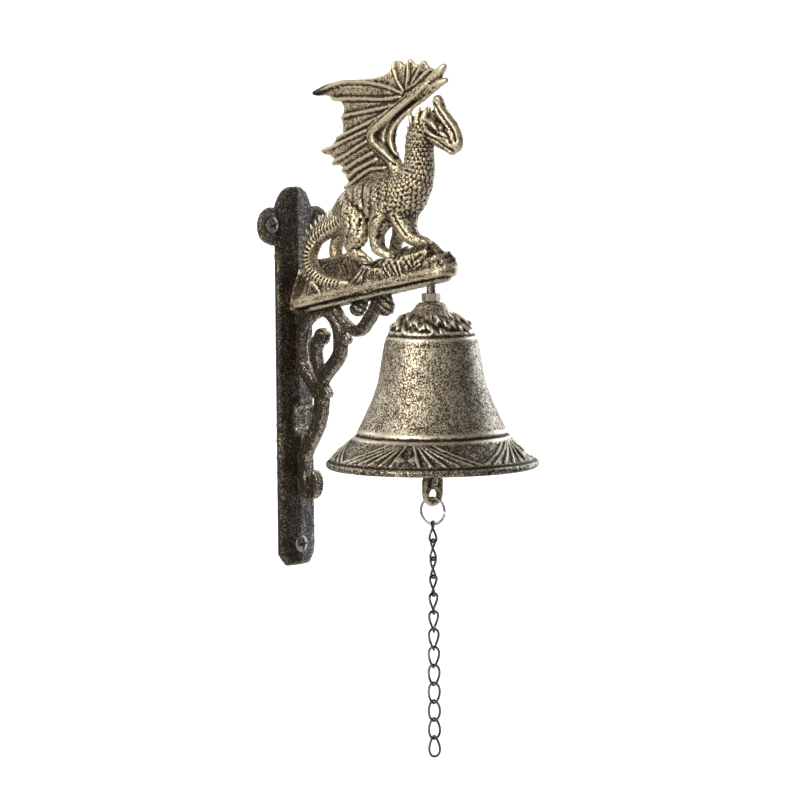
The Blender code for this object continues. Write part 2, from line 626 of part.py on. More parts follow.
def build_chain():
    """Odd links swing about the wire above them, even links about their own top wire."""
    for number in range(1, CHAIN_LINKS + 1):
        top = FIRST_LINK_Z - (number - 1) * CHAIN_PITCH
        pivot = top if number % 2 == 0 else top - RING_WIRE - CHAIN_WIRE - GAP
        turn = LOWER_TURN + CHAIN_TURN_PER_LINK * (number - 1)
        mesh = twisted_link(turn, CHAIN_LINK_HEIGHT / 2 + pivot - top)
        add_part("chain_link_%02d" % number, mesh, wire_dark, (0, BELL_Y, pivot))


clear_scene()
parts = new_collection("Wall mounted bell")
cutters = new_collection("Cutters")
iron_dark = new_material("dark cast iron", (0.09, 0.075, 0.06), 0.62, 0.5)
iron_gold = new_material("brushed cast iron", (0.27, 0.22, 0.15), 0.55, 0.5)
steel = new_material("steel", (0.3, 0.3, 0.31), 0.4, 0.9)
brass = new_material("plated nut", (0.45, 0.4, 0.28), 0.4, 0.9)
wire_dark = new_material("blackened wire", (0.16, 0.155, 0.15), 0.4, 0.9)

build_backplate()
build_wall_screws()
build_shelf_arm()
build_rock_base()
build_scrolls()
build_dragon()
build_bell()
build_rod_and_nuts()
build_clapper()
build_pull_ring()
build_chain()
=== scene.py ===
"""Looks of the wall mounted bell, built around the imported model's fixed frame.

Cast pieces are sculpted as signed distances on a grid, in millimetres, with the axes
x (along the wall), out (away from the wall) and up.  The other pieces are turned or swept.
"""

import math

import bpy
import numpy as np
import openvdb
from mathutils import Matrix, Vector


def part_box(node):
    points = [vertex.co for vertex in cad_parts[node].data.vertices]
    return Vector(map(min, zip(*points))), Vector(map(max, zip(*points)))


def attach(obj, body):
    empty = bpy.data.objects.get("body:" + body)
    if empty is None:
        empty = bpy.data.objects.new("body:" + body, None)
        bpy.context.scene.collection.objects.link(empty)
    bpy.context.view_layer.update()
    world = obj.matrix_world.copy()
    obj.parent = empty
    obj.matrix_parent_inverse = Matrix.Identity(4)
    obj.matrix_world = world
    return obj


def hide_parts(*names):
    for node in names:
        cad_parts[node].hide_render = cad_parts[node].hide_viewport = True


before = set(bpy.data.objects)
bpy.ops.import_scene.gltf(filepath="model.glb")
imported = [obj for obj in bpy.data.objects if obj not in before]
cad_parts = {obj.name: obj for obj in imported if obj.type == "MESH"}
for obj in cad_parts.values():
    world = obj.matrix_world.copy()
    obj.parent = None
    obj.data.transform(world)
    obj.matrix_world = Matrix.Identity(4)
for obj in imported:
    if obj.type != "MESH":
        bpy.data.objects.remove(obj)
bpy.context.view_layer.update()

MM = 0.001
BELL_OUT = 110.0                     # the bell's axis, out from the wall
SLAB_TOP, SLAB_RISE, SLAB_THICK = 44.6, 0.2, 5.3
SCREWS = {"left": (-20.5, 3.4, 92.8), "right": (20.5, 3.4, 92.8), "bottom": (0, 5.8, -102.5)}   # x, out, up
NEAR_SIDE = -1                       # the side of the bracket towards minus x
REACH = 3.0                          # how far from a surface distances are kept


# ---- small maths
def smooth_path(points, steps):
    """Catmull-Rom points through the given ones; every column is smoothed alike."""
    p = np.array([points[0], *points, points[-1]], float)
    t = np.linspace(0, 1, steps, endpoint=False)[:, None]
    runs = []
    for a, b, c, d in zip(p, p[1:], p[2:], p[3:]):
        runs.append(0.5 * (2 * b + (c - a) * t + (2 * a - 5 * b + 4 * c - d) * t ** 2
                           + (3 * b - a - 3 * c + d) * t ** 3))
    return np.vstack(runs + [p[-1:]])


def blend_min(a, b, k):
    """The smaller of two distances, with a fillet of about k where they meet."""
    if k <= 0:
        return np.minimum(a, b)
    h = np.clip(0.5 + 0.5 * (b - a) / k, 0, 1)
    mixed = b * (1 - h) + a * h - k * h * (1 - h)
    return np.where(np.minimum(a, b) < 0.8 * REACH, mixed, np.minimum(a, b))


def line_distance(u, v, points):
    """Distance from a grid of (u, v) to a run of straight pieces."""
    best = np.full(np.broadcast(u, v).shape, 1e3, np.float32)
    for (u0, v0), (u1, v1) in zip(points, points[1:]):
        du, dv = u1 - u0, v1 - v0
        t = np.clip(((u - u0) * du + (v - v0) * dv) / max(du * du + dv * dv, 1e-9), 0, 1)
        best = np.minimum(best, np.hypot(u - u0 - t * du, v - v0 - t * dv))
    return best


def outline_distance(u, v, points):
    """Signed distance to a closed outline, negative inside."""
    closed = list(points) + [points[0]]
    inside = np.zeros(np.broadcast(u, v).shape, bool)
    for (u0, v0), (u1, v1) in zip(closed, closed[1:]):
        if v0 != v1:
            crosses = (v0 > v) != (v1 > v)
            inside ^= crosses & (u < (u1 - u0) * (v - v0) / (v1 - v0) + u0)
    return np.where(inside, -1, 1) * line_distance(u, v, closed)


def arc(cx, cy, radius, start, end, count):
    angles = np.radians(np.linspace(start, end, count))
    return [(cx + radius * math.cos(a), cy + radius * math.sin(a)) for a in angles]


def box_blur(field, radius):
    """Two passes of a running mean along each axis."""
    for axis in (0, 1, 2, 0, 1, 2):
        pad = [(0, 0)] * 3
        pad[axis] = (radius + 1, radius)
        total = np.cumsum(np.pad(field, pad, mode="edge"), axis=axis, dtype=np.float32)
        count = field.shape[axis]
        high = np.take(total, range(2 * radius + 1, 2 * radius + 1 + count), axis=axis)
        low = np.take(total, range(0, count), axis=axis)
        field = (high - low) / (2 * radius + 1)
    return field


def noise(x, y, z, size, seed, octaves=2):
    """Smooth repeatable noise from a few crossed sines, between about -1 and 1."""
    rng = np.random.default_rng(seed)
    total = 0
    for octave in range(octaves):
        for _ in range(5):
            d = rng.normal(size=3)
            d *= 2 ** octave * 6.283 / (size * np.linalg.norm(d))
            total = total + np.sin(d[0] * x + d[1] * y + d[2] * z + rng.uniform(0, 6.283)) / 2 ** octave
    return total / 5


# ---- meshes
def new_piece(name, verts, faces, relief=None, smooth=True):
    mesh = bpy.data.meshes.new(name)
    verts = np.asarray(verts, np.float32)
    if isinstance(faces, np.ndarray):
        mesh.vertices.add(len(verts))
        mesh.vertices.foreach_set("co", verts.ravel())
        count, corners = faces.shape
        mesh.loops.add(count * corners)
        mesh.loops.foreach_set("vertex_index", faces.astype(np.int32).ravel())
        mesh.polygons.add(count)
        mesh.polygons.foreach_set("loop_start", np.arange(0, count * corners, corners, dtype=np.int32))
        mesh.update(calc_edges=True)
    else:
        mesh.from_pydata(verts.tolist(), [], faces)
    mesh.validate()
    if relief is not None:
        layer = mesh.attributes.new("relief", "FLOAT", "POINT")
        layer.data.foreach_set("value", np.asarray(relief, np.float32))
    if smooth:
        mesh.shade_smooth()
    obj = bpy.data.objects.new(name, mesh)
    bpy.context.scene.collection.objects.link(obj)
    return obj


def paint_shade(obj, amount):
    """Paint shade into a piece: lower its relief value, so that less dry-brushed paint shows there, by an
    amount that depends on a vertex's (out, up) in millimetres.
    """
    count = len(obj.data.vertices)
    places, relief = np.empty(3 * count, np.float32), np.empty(count, np.float32)
    layer = obj.data.attributes["relief"].data
    obj.data.vertices.foreach_get("co", places)
    layer.foreach_get("value", relief)
    places = places.reshape(-1, 3) / MM
    layer.foreach_set("value", relief - amount(-places[:, 1], places[:, 2]).astype(np.float32))


def place(obj, node, material, body="bracket"):
    """Give a piece its material and body, and let it stand for its CAD node."""
    obj.data.materials.append(material)
    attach(obj, body)
    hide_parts(node)


class Clay:
    """Distances in millimetres on a grid of cells that covers a box of (x, out, up)."""

    def __init__(self, low, high, cell):
        self.cell = cell
        self.low = np.array(low, float) - 2 * cell
        size = np.array(high, float) + 2 * cell - self.low
        self.field = np.full(np.ceil(size / cell).astype(int) + 1, REACH, np.float32)

    def window(self, low, high):
        first = np.maximum(np.floor((np.array(low) - self.low) / self.cell).astype(int), 0)
        last = np.ceil((np.array(high) - self.low) / self.cell).astype(int) + 1
        last = np.clip(last, first, self.field.shape)
        axes = [(self.low[k] + self.cell * np.arange(first[k], last[k])).astype(np.float32)
                for k in range(3)]
        cut = tuple(slice(a, b) for a, b in zip(first, last))
        return cut, axes[0][:, None, None], axes[1][None, :, None], axes[2][None, None, :]

    def everywhere(self):
        return self.window(self.low, self.low + self.cell * np.array(self.field.shape))

    def bar(self, points, blend=0.0, flat=1.0, steps=4, cut=False):
        """A round bar through (x, out, up, radius); flat squeezes it across x."""
        path = smooth_path(points, steps)
        reach = REACH + blend
        spread = path[:, 3:] + reach
        low, high = (path[:, :3] - spread).min(0), (path[:, :3] + spread).max(0)
        zone, *_ = self.window(low - self.cell, high + self.cell)
        work = np.full(self.field[zone].shape, REACH, np.float32)
        start = [s.start for s in zone]
        for a, b in zip(path, path[1:]):
            lo = np.minimum(a[:3] - a[3], b[:3] - b[3]) - reach
            hi = np.maximum(a[:3] + a[3], b[:3] + b[3]) + reach
            part, x, out, up = self.window(lo, hi)
            d = b[:3] - a[:3]
            t = ((x - a[0]) * d[0] + (out - a[1]) * d[1] + (up - a[2]) * d[2]) / max(d @ d, 1e-9)
            t = np.clip(t, 0, 1)
            gap = np.sqrt(((x - a[0] - t * d[0]) / flat) ** 2 + (out - a[1] - t * d[1]) ** 2
                          + (up - a[2] - t * d[2]) ** 2) - (a[3] + t * (b[3] - a[3]))
            inner = tuple(slice(s.start - o, s.stop - o) for s, o in zip(part, start))
            work[inner] = np.minimum(work[inner], gap)
        old = self.field[zone]
        self.field[zone] = -blend_min(-old, work, blend) if cut else blend_min(old, work, blend)

    def spine(self, points, blend=0.0, flat=1.0):
        """A round bar through (out, up, radius) in the middle plane."""
        self.bar([(0, *point) for point in points], blend, flat)

    def straps(self, bars, half, edge=1.1, blend=1.0, camber=0.5, steps=5):
        """Flat-sided bars through (out, up, radius), standing across x to plus and minus half."""
        _, x, out, up = self.everywhere()
        flat = np.full(np.broadcast(out, up).shape, 30.0, np.float32)
        for points in bars:
            path = smooth_path(points, steps)
            bar = np.full_like(flat, 30.0)
            for a, b in zip(path, path[1:]):
                d = b[:2] - a[:2]
                t = np.clip(((out - a[0]) * d[0] + (up - a[1]) * d[1]) / max(d @ d, 1e-9), 0, 1)
                gap = np.hypot(out - a[0] - t * d[0], up - a[1] - t * d[1]) - a[2] - t * (b[2] - a[2])
                bar = np.minimum(bar, gap)
            flat = blend_min(flat, bar, blend)
        swell = camber * np.clip(1 + flat / 3.0, 0, 1) ** 2
        self.merge(-blend_min(-flat, -(np.abs(x) - half + swell), edge), 0.8)

    def ball(self, x, out, up, radius, blend=0.0, flat=1.0, cut=False):
        self.bar([(x, out, up, radius), (x, out, up + 0.01, radius)], blend, flat, 1, cut)

    def merge(self, other, blend=0.0):
        """Join a distance field given on the whole grid."""
        self.field = blend_min(self.field, np.asarray(other, np.float32), blend)

    def emboss(self, line, width, height, side=0, steps=4):
        """Raise, or with a negative height cut, a soft line drawn side-on as (out, up)."""
        line = smooth_path(line, steps) if steps > 1 else np.array(line, float)
        reach = 2.3 * width
        low, high = line.min(0) - reach, line.max(0) + reach
        x_low, x_high = {0: (-99, 99), -1: (-99, 0), 1: (0, 99)}[side]
        zone, _, out, up = self.window((x_low, *low), (x_high, *high))
        stroke = height * np.exp(-(line_distance(out, up, line) / width) ** 2)
        self.field[zone] -= stroke.astype(np.float32)

    def emboss_all(self, lines, side=0):
        """Emboss a table of (width, height, line)."""
        for width, height, line in lines:
            self.emboss(line, width, height, side)

    def carve(self, other):
        """Cut away a distance field given on the whole grid."""
        self.field = np.maximum(self.field, -other).astype(np.float32)

    def roughen(self, size, height, seed):
        _, x, out, up = self.everywhere()
        self.field += (height * noise(x, out, up, size, seed)).astype(np.float32)

    def to_piece(self, name):
        clamped = np.clip(self.field, -REACH, REACH)
        grid = openvdb.FloatGrid(REACH)
        grid.copyFromArray(np.ascontiguousarray(clamped))
        points, quads = grid.convertToQuads(0.0)
        fine = max(1, round(0.9 / self.cell))
        soft = box_blur(clamped, fine)
        near = np.clip(np.round(points).astype(int), 0, np.array(self.field.shape) - 1)
        sharp = clamped[near[:, 0], near[:, 1], near[:, 2]]
        relief = (soft[near[:, 0], near[:, 1], near[:, 2]] - sharp) / 0.9
        places = self.low + self.cell * points
        verts = np.stack([places[:, 0], -places[:, 1], places[:, 2]], 1) * MM
        return new_piece(name, verts, quads[:, ::-1].copy(), relief)


# ---- materials
class Nodes:
    """A short way to build a node tree."""

    def __init__(self, name):
        self.material = bpy.data.materials.new(name)
        self.material.use_nodes = True
        self.tree = self.material.node_tree
        self.shader = self.tree.nodes["Principled BSDF"]

    def add(self, kind, inputs=None, **settings):
        node = self.tree.nodes.new(kind)
        for key, value in settings.items():
            setattr(node, key, value)
        for key, value in (inputs or {}).items():
            if hasattr(value, "is_output"):
                self.tree.links.new(value, node.inputs[key])
            else:
                node.inputs[key].default_value = value
        return node

    def math(self, operation, a, b=0.0, clamp=False):
        return self.add("ShaderNodeMath", {0: a, 1: b}, operation=operation, use_clamp=clamp).outputs[0]

    def noise(self, scale, detail=2.0, roughness=0.5, coords=None):
        inputs = {"Scale": scale, "Detail": detail, "Roughness": roughness}
        if coords is not None:
            inputs["Vector"] = coords
        return self.add("ShaderNodeTexNoise", inputs).outputs["Fac"]

    def ramp(self, value, stops):
        node = self.add("ShaderNodeValToRGB", {"Fac": value})
        ramp = node.color_ramp
        while len(ramp.elements) < len(stops):
            ramp.elements.new(0.5)
        for element, (position, colour) in zip(ramp.elements, stops):
            element.position = position
            element.color = (*colour, 1.0)
        return node.outputs["Color"]

    def span(self, value, low, high, to_low=0.0, to_high=1.0):
        return self.add("ShaderNodeMapRange", {"Value": value, "From Min": low, "From Max": high,
                                               "To Min": to_low, "To Max": to_high}).outputs["Result"]

    def link(self, output, socket):
        self.tree.links.new(output, self.shader.inputs[socket])


BLACK_IRON = (0.012, 0.009, 0.006)
GRAIN_SCALE = 1150.0                 # grains of about a millimetre


def cast_iron(name, mid, light, share, contrast, wear, side=0.0, bump=0.6):
    """Black cast iron with paint dry-brushed over its grain and its raised edges.

    share is how much is painted, wear how much the relief counts, and side how much less
    paint the faces towards plus and minus x carry.
    """
    n = Nodes(name)
    coords = n.add("ShaderNodeTexCoord").outputs["Object"]
    # the relief attribute holds the casting's raised and sunken relief, lowered further where shade is
    # painted into a piece
    relief = n.add("ShaderNodeAttribute", attribute_name="relief").outputs["Fac"]
    grain = n.noise(GRAIN_SCALE, 3.0, 0.65, coords)
    coarse = n.noise(GRAIN_SCALE * 0.33, 2.0, 0.6, coords)
    cloud = n.noise(45.0, 3.0, 0.6, coords)
    level = n.math("ADD", n.math("MULTIPLY", n.math("SUBTRACT", grain, 0.5), 2.2),
                   n.math("MULTIPLY", n.math("SUBTRACT", coarse, 0.5), 0.5))
    level = n.math("ADD", level, n.math("MULTIPLY", n.math("SUBTRACT", cloud, 0.5), 0.5))
    level = n.math("ADD", level, n.math("MULTIPLY", relief, wear))
    level = n.math("ADD", level, share)
    if side:
        facing = n.add("ShaderNodeSeparateXYZ", {"Vector": n.add("ShaderNodeTexCoord").outputs["Normal"]})
        level = n.math("SUBTRACT", level, n.math("MULTIPLY", n.math("ABSOLUTE", facing.outputs["X"]), side))
    brushed = n.span(level, 0.5 - contrast, 0.5 + contrast)
    colour = n.ramp(brushed, [(0.0, BLACK_IRON), (0.5, mid), (1.0, light)])
    n.link(colour, "Base Color")
    n.link(n.span(brushed, 0.0, 1.0, 0.62, 0.38), "Roughness")
    n.link(n.span(brushed, 0.0, 1.0, 0.08, 0.85), "Metallic")
    n.link(n.span(brushed, 0.0, 1.0, 0.12, 0.50), "Specular IOR Level")
    height = n.math("ADD", grain, n.math("MULTIPLY", coarse, 1.2))
    bump_node = n.add("ShaderNodeBump", {"Strength": bump, "Distance": 0.0004, "Height": height})
    n.link(bump_node.outputs["Normal"], "Normal")
    return n.material


def worn_metal(name, base, bright, roughness, scale=900.0, bump=0.12):
    """Plain steel or plating with streaks, dull patches and small pits."""
    n = Nodes(name)
    coords = n.add("ShaderNodeTexCoord").outputs["Object"]
    fine = n.noise(scale, 4.0, 0.6, coords)
    patch = n.noise(scale * 0.15, 3.0, 0.6, coords)
    mix = n.span(n.math("ADD", n.math("MULTIPLY", fine, 0.6), n.math("MULTIPLY", patch, 0.4)), 0.38, 0.62)
    n.link(n.ramp(mix, [(0.0, base), (1.0, bright)]), "Base Color")
    n.link(n.span(patch, 0.3, 0.7, roughness + 0.14, roughness - 0.08), "Roughness")
    n.shader.inputs["Metallic"].default_value = 0.9
    bump_node = n.add("ShaderNodeBump", {"Strength": bump, "Distance": 0.0003, "Height": fine})
    n.link(bump_node.outputs["Normal"], "Normal")
    return n.material


gold_iron = cast_iron("dry-brushed iron", (0.115, 0.087, 0.048), (0.47, 0.40, 0.28), 0.47, 0.21, 1.3)
rock_iron = cast_iron("rock iron", (0.10, 0.075, 0.043), (0.45, 0.38, 0.27), 0.39, 0.21, 1.3)
bell_iron = cast_iron("bell iron", (0.15, 0.12, 0.08), (0.57, 0.505, 0.39), 0.53, 0.20, 1.7)
scroll_iron = cast_iron("scroll iron", (0.05, 0.035, 0.021), (0.40, 0.355, 0.28), 0.50, 0.26, 1.0, 0.30, 0.5)
plate_iron = cast_iron("plate iron", (0.036, 0.028, 0.019), (0.30, 0.26, 0.20), 0.42, 0.24, 0.5, 0.28)
screw_steel = worn_metal("screw steel", (0.10, 0.10, 0.105), (0.30, 0.30, 0.31), 0.42)
rod_steel = worn_metal("rod steel", (0.07, 0.068, 0.065), (0.30, 0.29, 0.28), 0.38)
nut_plating = worn_metal("nut plating", (0.25, 0.22, 0.15), (0.52, 0.47, 0.35), 0.40)
wire_steel = worn_metal("blackened wire", (0.016, 0.015, 0.014), (0.11, 0.105, 0.095), 0.26, 700.0)
ring_steel = worn_metal("ring wire", (0.20, 0.195, 0.185), (0.55, 0.54, 0.51), 0.28, 700.0)


# ---- backplate
def build_backplate():
    clay = Clay((-33, -1, -118), (33, 8.5, 118), 0.6)
    _, x, out, up = clay.everywhere()
    half, top, bottom, chamfer = 15.5, 115.5, -115.5, 7.0
    outline = arc(0, top - half, half, 0, 180, 25)
    outline += [(-half, bottom + chamfer), (-9, bottom), (9, bottom), (half, bottom + chamfer)]
    edge = outline_distance(x, up, outline)
    roof = 6.3 - 2.8 / half * np.sqrt(x ** 2 + 0.8)
    bar = -blend_min(-edge, -(out - roof), 1.6)
    clay.merge(bar)
    ear_x, ear_up, ear_radius, ear_thickness = 20, 92.2, 11, 3.6
    ear = np.hypot(np.abs(x) - ear_x, up - ear_up) - ear_radius
    neck = np.maximum(np.abs(up - 90.6) - 8.5, np.abs(x) - 18)
    ears = -blend_min(-blend_min(ear, neck, 6), -(out - ear_thickness), 1.2)
    clay.merge(ears, 2.0)
    clay.bar([(-5.2, 5.6, -26, 1.4), (-4, 5.9, -18, 1.3), (0, 6.3, -15.4, 1.3)], 1.6)
    clay.bar([(-5.2, 5.6, -26, 1.4), (-4, 5.8, -34, 1.3), (0, 6.2, -36.8, 1.3)], 1.6)
    for x0, surface, z0 in SCREWS.values():
        radius = np.hypot(x - x0, up - z0)
        cone = radius - np.clip(2.5 + 1.2 * (out - surface + 2.7), 2.5, 5.9)
        clay.carve(cone)
    clay.roughen(9.0, 0.16, 3)
    clay.roughen(2.6, 0.07, 4)
    clay.carve(out)
    place(clay.to_piece("cast_backplate"), "backplate", plate_iron)


# ---- shelf and rock
def slab_plan(x, out, shrink=0.0):
    tip, shoulder, root = 9.5 - shrink, 15 - shrink, 7.4 - shrink
    outline = [(-root, 3), (-root, 8), (-shoulder * 0.95, 14), (-shoulder, 20)]
    outline += arc(0, 118.5, tip, 180, 0, 15)
    outline += [(shoulder, 20), (shoulder * 0.95, 14), (root, 8), (root, 3)]
    return outline_distance(x, out, outline)


def build_shelf():
    clay = Clay((-18, 2, 34), (18, 131, 74), 0.5)
    _, x, out, up = clay.everywhere()
    level = up - SLAB_TOP - SLAB_RISE * out
    slab = -blend_min(-slab_plan(x, out), -(np.abs(level + SLAB_THICK / 2) - SLAB_THICK / 2), 1.6)
    clay.merge(slab)
    keel = slab_plan(x, out, 4.0) + np.clip(24 - out, 0, 12) * 0.5
    keel = -blend_min(-keel, -(np.abs(level + SLAB_THICK + 1) - 1.9), 2.0)
    clay.merge(keel, 1.5)
    clay.spine([(6, 42, 5.5), (12, 41, 3.6), (22, 42.5, 3.0)], 3.0, 0.9)
    for line in ([(9, 43), (18, 42.2), (28, 44.6), (48, 49.2), (70, 54.6)],
                 [(70, 54.6), (90, 57.2), (112, 61.6)]):
        clay.emboss(line, 0.9, -0.5, NEAR_SIDE)
    clay.carve(np.hypot(x, out - BELL_OUT) - 3.3)
    clay.roughen(7.0, 0.14, 5)
    clay.roughen(2.2, 0.08, 6)
    place(clay.to_piece("cast_shelf"), "shelf_arm", rock_iron)


STONES = [
    (0, 42, 64, 10), (3, 30, 64, 10), (3, 56, 60, 11), (-3, 68, 62, 10), (3, 79, 65, 11), (-4, 90, 69, 12),
    (4, 98, 71, 12), (-2, 107, 73, 12), (1, 114, 72, 10), (-9, 76, 61, 8), (-3, 118, 71, 9),
    (0, 122, 67, 7)]
ROCK_CRACKS = [
    [(73, 73), (67, 66.5), (61.5, 59.5)], [(89, 76), (92, 70), (94.6, 63.6)],
    [(95, 77), (99, 72), (103.6, 67.6)], [(86, 72), (89, 68), (92, 64)],
    [(101, 80.5), (102.6, 75), (104, 69.5)], [(104, 69), (110, 72), (117, 73.6)],
    [(114, 65.6), (120, 67.4), (126, 67.6)], [(79, 73.6), (82, 68), (86, 63)]]
ROCK_CREST = [
    (5, 66), (9, 64.5), (15, 66), (21, 72), (35, 74), (46, 76.6), (52, 74), (59, 70.4), (64, 71.2),
    (71, 73.6), (79, 73.6), (85, 75.8), (90, 78.6), (99, 81.8), (106, 83.2), (111, 84.6), (115, 82.6),
    (119, 79.4), (121, 76.4), (125, 72.8), (127.4, 68), (129, 64)]


def build_rock():
    clay = Clay((-16, 5, 40), (16, 137, 92), 0.5)
    _, x, out, up = clay.everywhere()
    level = up - SLAB_TOP - SLAB_RISE * out
    crest = np.interp(out, *zip(*ROCK_CREST)).astype(np.float32)
    plan = slab_plan(x, out, 0.8)
    width = np.interp(out, [5, 8, 14, 20, 118, 128], [9.0, 9.6, 12.6, 14.4, 9, 1]).astype(np.float32)
    swell = np.interp(out, [8, 26], [1.3, 0.8]).astype(np.float32)
    mound = up - (SLAB_TOP + SLAB_RISE * out
                  + (crest - SLAB_TOP - SLAB_RISE * out) * np.clip(1 - np.abs(x) / width, 0, 1) ** swell)
    core = -blend_min(-0.7 * mound, -plan, 1.5)
    clay.merge(np.maximum(core, -level - 2))
    rng = np.random.default_rng(27)
    for sx, so, su, size in STONES:
        stone = None
        for k in range(13):
            d = rng.normal(size=3)
            d[2] = abs(d[2])
            d /= np.linalg.norm(d)
            plane = ((x - sx) * d[0] + (out - so) * d[1] + (up - su) * d[2]
                     - size * rng.uniform(0.55, 0.85))
            stone = plane if stone is None else np.maximum(stone, plane)
        clay.merge(np.maximum(stone, plan), 0.8)
    for line in ROCK_CRACKS:
        clay.emboss(line, 0.6, -0.5, 0, 3)
        clay.emboss([(o + 1.5, u + 0.3) for o, u in line], 0.8, 0.45, 0, 3)
    clay.emboss([(110, 83.4), (118, 77.4), (124.6, 72.6), (127.6, 66)], 1.3, 0.7, 0, 3)
    for k in range(11):
        start, wander = 40 + 2.2 * k, rng.uniform(-1, 1)
        line = [(start, 75.5 - 0.5 * k), (start + 5 + wander, 69 - 0.3 * k), (start + 10, 63.5 - 0.2 * k)]
        clay.emboss(line, 0.55, -0.42, 0, 2)
    for k in range(8):
        start, wander = 22 + 2.5 * k, rng.uniform(-1, 1)
        clay.emboss([(start, 73), (start - 1.5 + wander, 68.5), (start - 4, 63)], 0.55, -0.4, 0, 2)
    for k in range(12):
        start, lean = 76 + 4.2 * k + rng.uniform(-1, 1), rng.uniform(3, 7)
        foot = SLAB_TOP + SLAB_RISE * start + rng.uniform(2, 8)
        clay.emboss([(start, foot), (start + 0.4 * lean, foot + 0.45 * lean), (start + lean, foot + lean)],
                    0.55, rng.choice([-0.35, 0.3]), 0, 2)
    clay.roughen(3.2, 0.14, 8)
    clay.roughen(1.6, 0.08, 9)
    clay.carve(level + 1.0)
    place(clay.to_piece("cast_rock"), "rock_base", rock_iron)


# ---- scrolls
UPPER_BARS = [
    [(8, 21, 3), (9, 28, 3.3), (14, 35, 3.3), (20.5, 38.9, 3), (27, 39.9, 2.8), (33, 37.2, 3.1),
        (37.3, 31, 3.5), (39, 23, 4), (38.6, 15.5, 4.3), (34.5, 9.3, 4.2), (29, 4, 4.1), (24, -2, 4.3),
        (22.8, -9, 4.3)],
    [(7.5, 23, 3.2), (7.6, 12, 3.6), (10.4, 4.5, 3.8), (15.5, -2, 4), (20.5, -9, 4.1)],
    [(24, -1, 3), (20.8, 7, 3.6), (19.3, 16, 3.9), (21.3, 22, 4.1)], [(24.8, 25, 5.2), (25, 25.1, 5.2)],
    [(41, 24, 2.6), (44.2, 23.8, 3.1)], [(6, 36, 4.5), (12, 40, 3.6), (24, 43.5, 2.2)]]
STEM_BARS = [
    [(23.2, -5, 4.4), (23.7, -14, 4.7), (22.2, -25, 4.4), (17.5, -34.5, 4.5), (11.8, -44, 4.3),
        (8.4, -53, 4.2), (8.6, -62, 4.4), (11.4, -69, 4.9), (16.2, -68.8, 5.2), (18, -63, 4.3),
        (18.2, -58.6, 2.2)], [(26, -6, 2.6), (28.8, -9.4, 2.8)]]
FRONT_BARS = [
    [(33, 45, 3), (39, 37.5, 2.8), (45, 32.3, 2.9), (51, 29.2, 3.2), (56.5, 30.6, 3.6), (61.5, 36, 3.7),
        (66, 42, 3.6), (69.5, 49, 3.6)], [(53.4, 43.3, 5), (55, 45, 4.8)],
    [(75.4, 45.8, 5.4), (75, 44.4, 5.4)], [(54, 49, 3), (66, 51, 3), (75, 51, 3.2)]]


UPPER_GROOVES = [
    (0.7, -0.7, [(27.5, 21.5), (29.4, 25), (26.5, 28.6), (22, 27.8), (20.8, 23.5)]),
    (0.6, -0.5, [(24.6, 22.6), (26.4, 25), (24.2, 26.6)]),
    (0.7, -0.9, [(15.3, 22), (15.2, 12), (18, 4), (23, -5)]),
    (1.5, 0.3, [(9, 24), (11.5, 32), (18, 38), (27, 39.9), (34.5, 36), (38.6, 27), (39, 17), (34.5, 9),
        (26, 1)]), (1.5, 0.3, [(7.6, 18), (8.2, 10), (12, 2), (19, -7)])]
STEM_GROOVES = [
    (1.5, 0.3, [(23.4, -8), (23.6, -16), (21.6, -26), (17, -35), (11.5, -44.5), (8.6, -54), (8.8, -62)]),
    (0.8, -0.8, [(13.4, -60), (13.4, -63.6), (15.4, -66)])]
FRONT_GROOVES = [(1.3, 0.35, [(36, 42), (43, 34), (50, 29.6), (57, 31), (63, 38.4), (67, 44.6)])]
FRONT_GROOVES += [(0.75, -0.75, leaf_vein) for leaf_vein in (
    [(49, 45.4), (53, 42), (57, 40.4)], [(50, 49), (54.5, 45.6), (59, 43)],
    [(71, 48.6), (76, 45), (80, 42.6)], [(71, 44), (75, 41), (78, 39.6)],
    [(73, 51.6), (78, 48.6), (81, 46)])]
SCROLL_HALF = 3.2                    # half width of the scrolls along the wall
PLATE_GAP_OUT = 4.2                  # the scrolls start in front of the backplate


def finish_scroll(clay, grooves, name, node, seed):
    clay.emboss_all(grooves)
    clay.roughen(6.0, 0.16, seed)
    clay.roughen(2.0, 0.06, seed + 5)
    _, _, out, _ = clay.everywhere()
    clay.carve(out - PLATE_GAP_OUT)
    place(clay.to_piece(name), node, scroll_iron)


def build_scrolls():
    upper = Clay((-7, 2, -16), (7, 56, 50), 0.45)
    upper.straps(UPPER_BARS, SCROLL_HALF)
    stem = Clay((-7, 2, -80), (7, 36, 2), 0.45)
    stem.straps(STEM_BARS, SCROLL_HALF)
    _, x, out, up = stem.everywhere()
    ring = np.abs(np.hypot(out - 12.8, up + 26.2) - 7.9) - 1.3
    half = np.interp(out, [6, 17], [5.6, 3.2]).astype(np.float32)
    stem.merge(-blend_min(-ring, -(np.abs(x) - half), 0.9), 1.2)
    front = Clay((-8, 28, 22), (8, 86, 58), 0.45)
    front.straps(FRONT_BARS, SCROLL_HALF)
    front.ball(0, 53.4, 43.6, 5.3, 1.0, 0.78)
    front.ball(0, 75.3, 45.2, 6.1, 1.0, 0.72)
    finish_scroll(upper, UPPER_GROOVES, "cast_upper_scroll", "scroll_upper", 11)
    finish_scroll(stem, STEM_GROOVES, "cast_stem_scroll", "scroll_stem", 12)
    finish_scroll(front, FRONT_GROOVES, "cast_front_scroll", "scroll_front", 13)


# ---- dragon
BODY_FLATNESS = 0.82                 # width along the wall over width in the side view


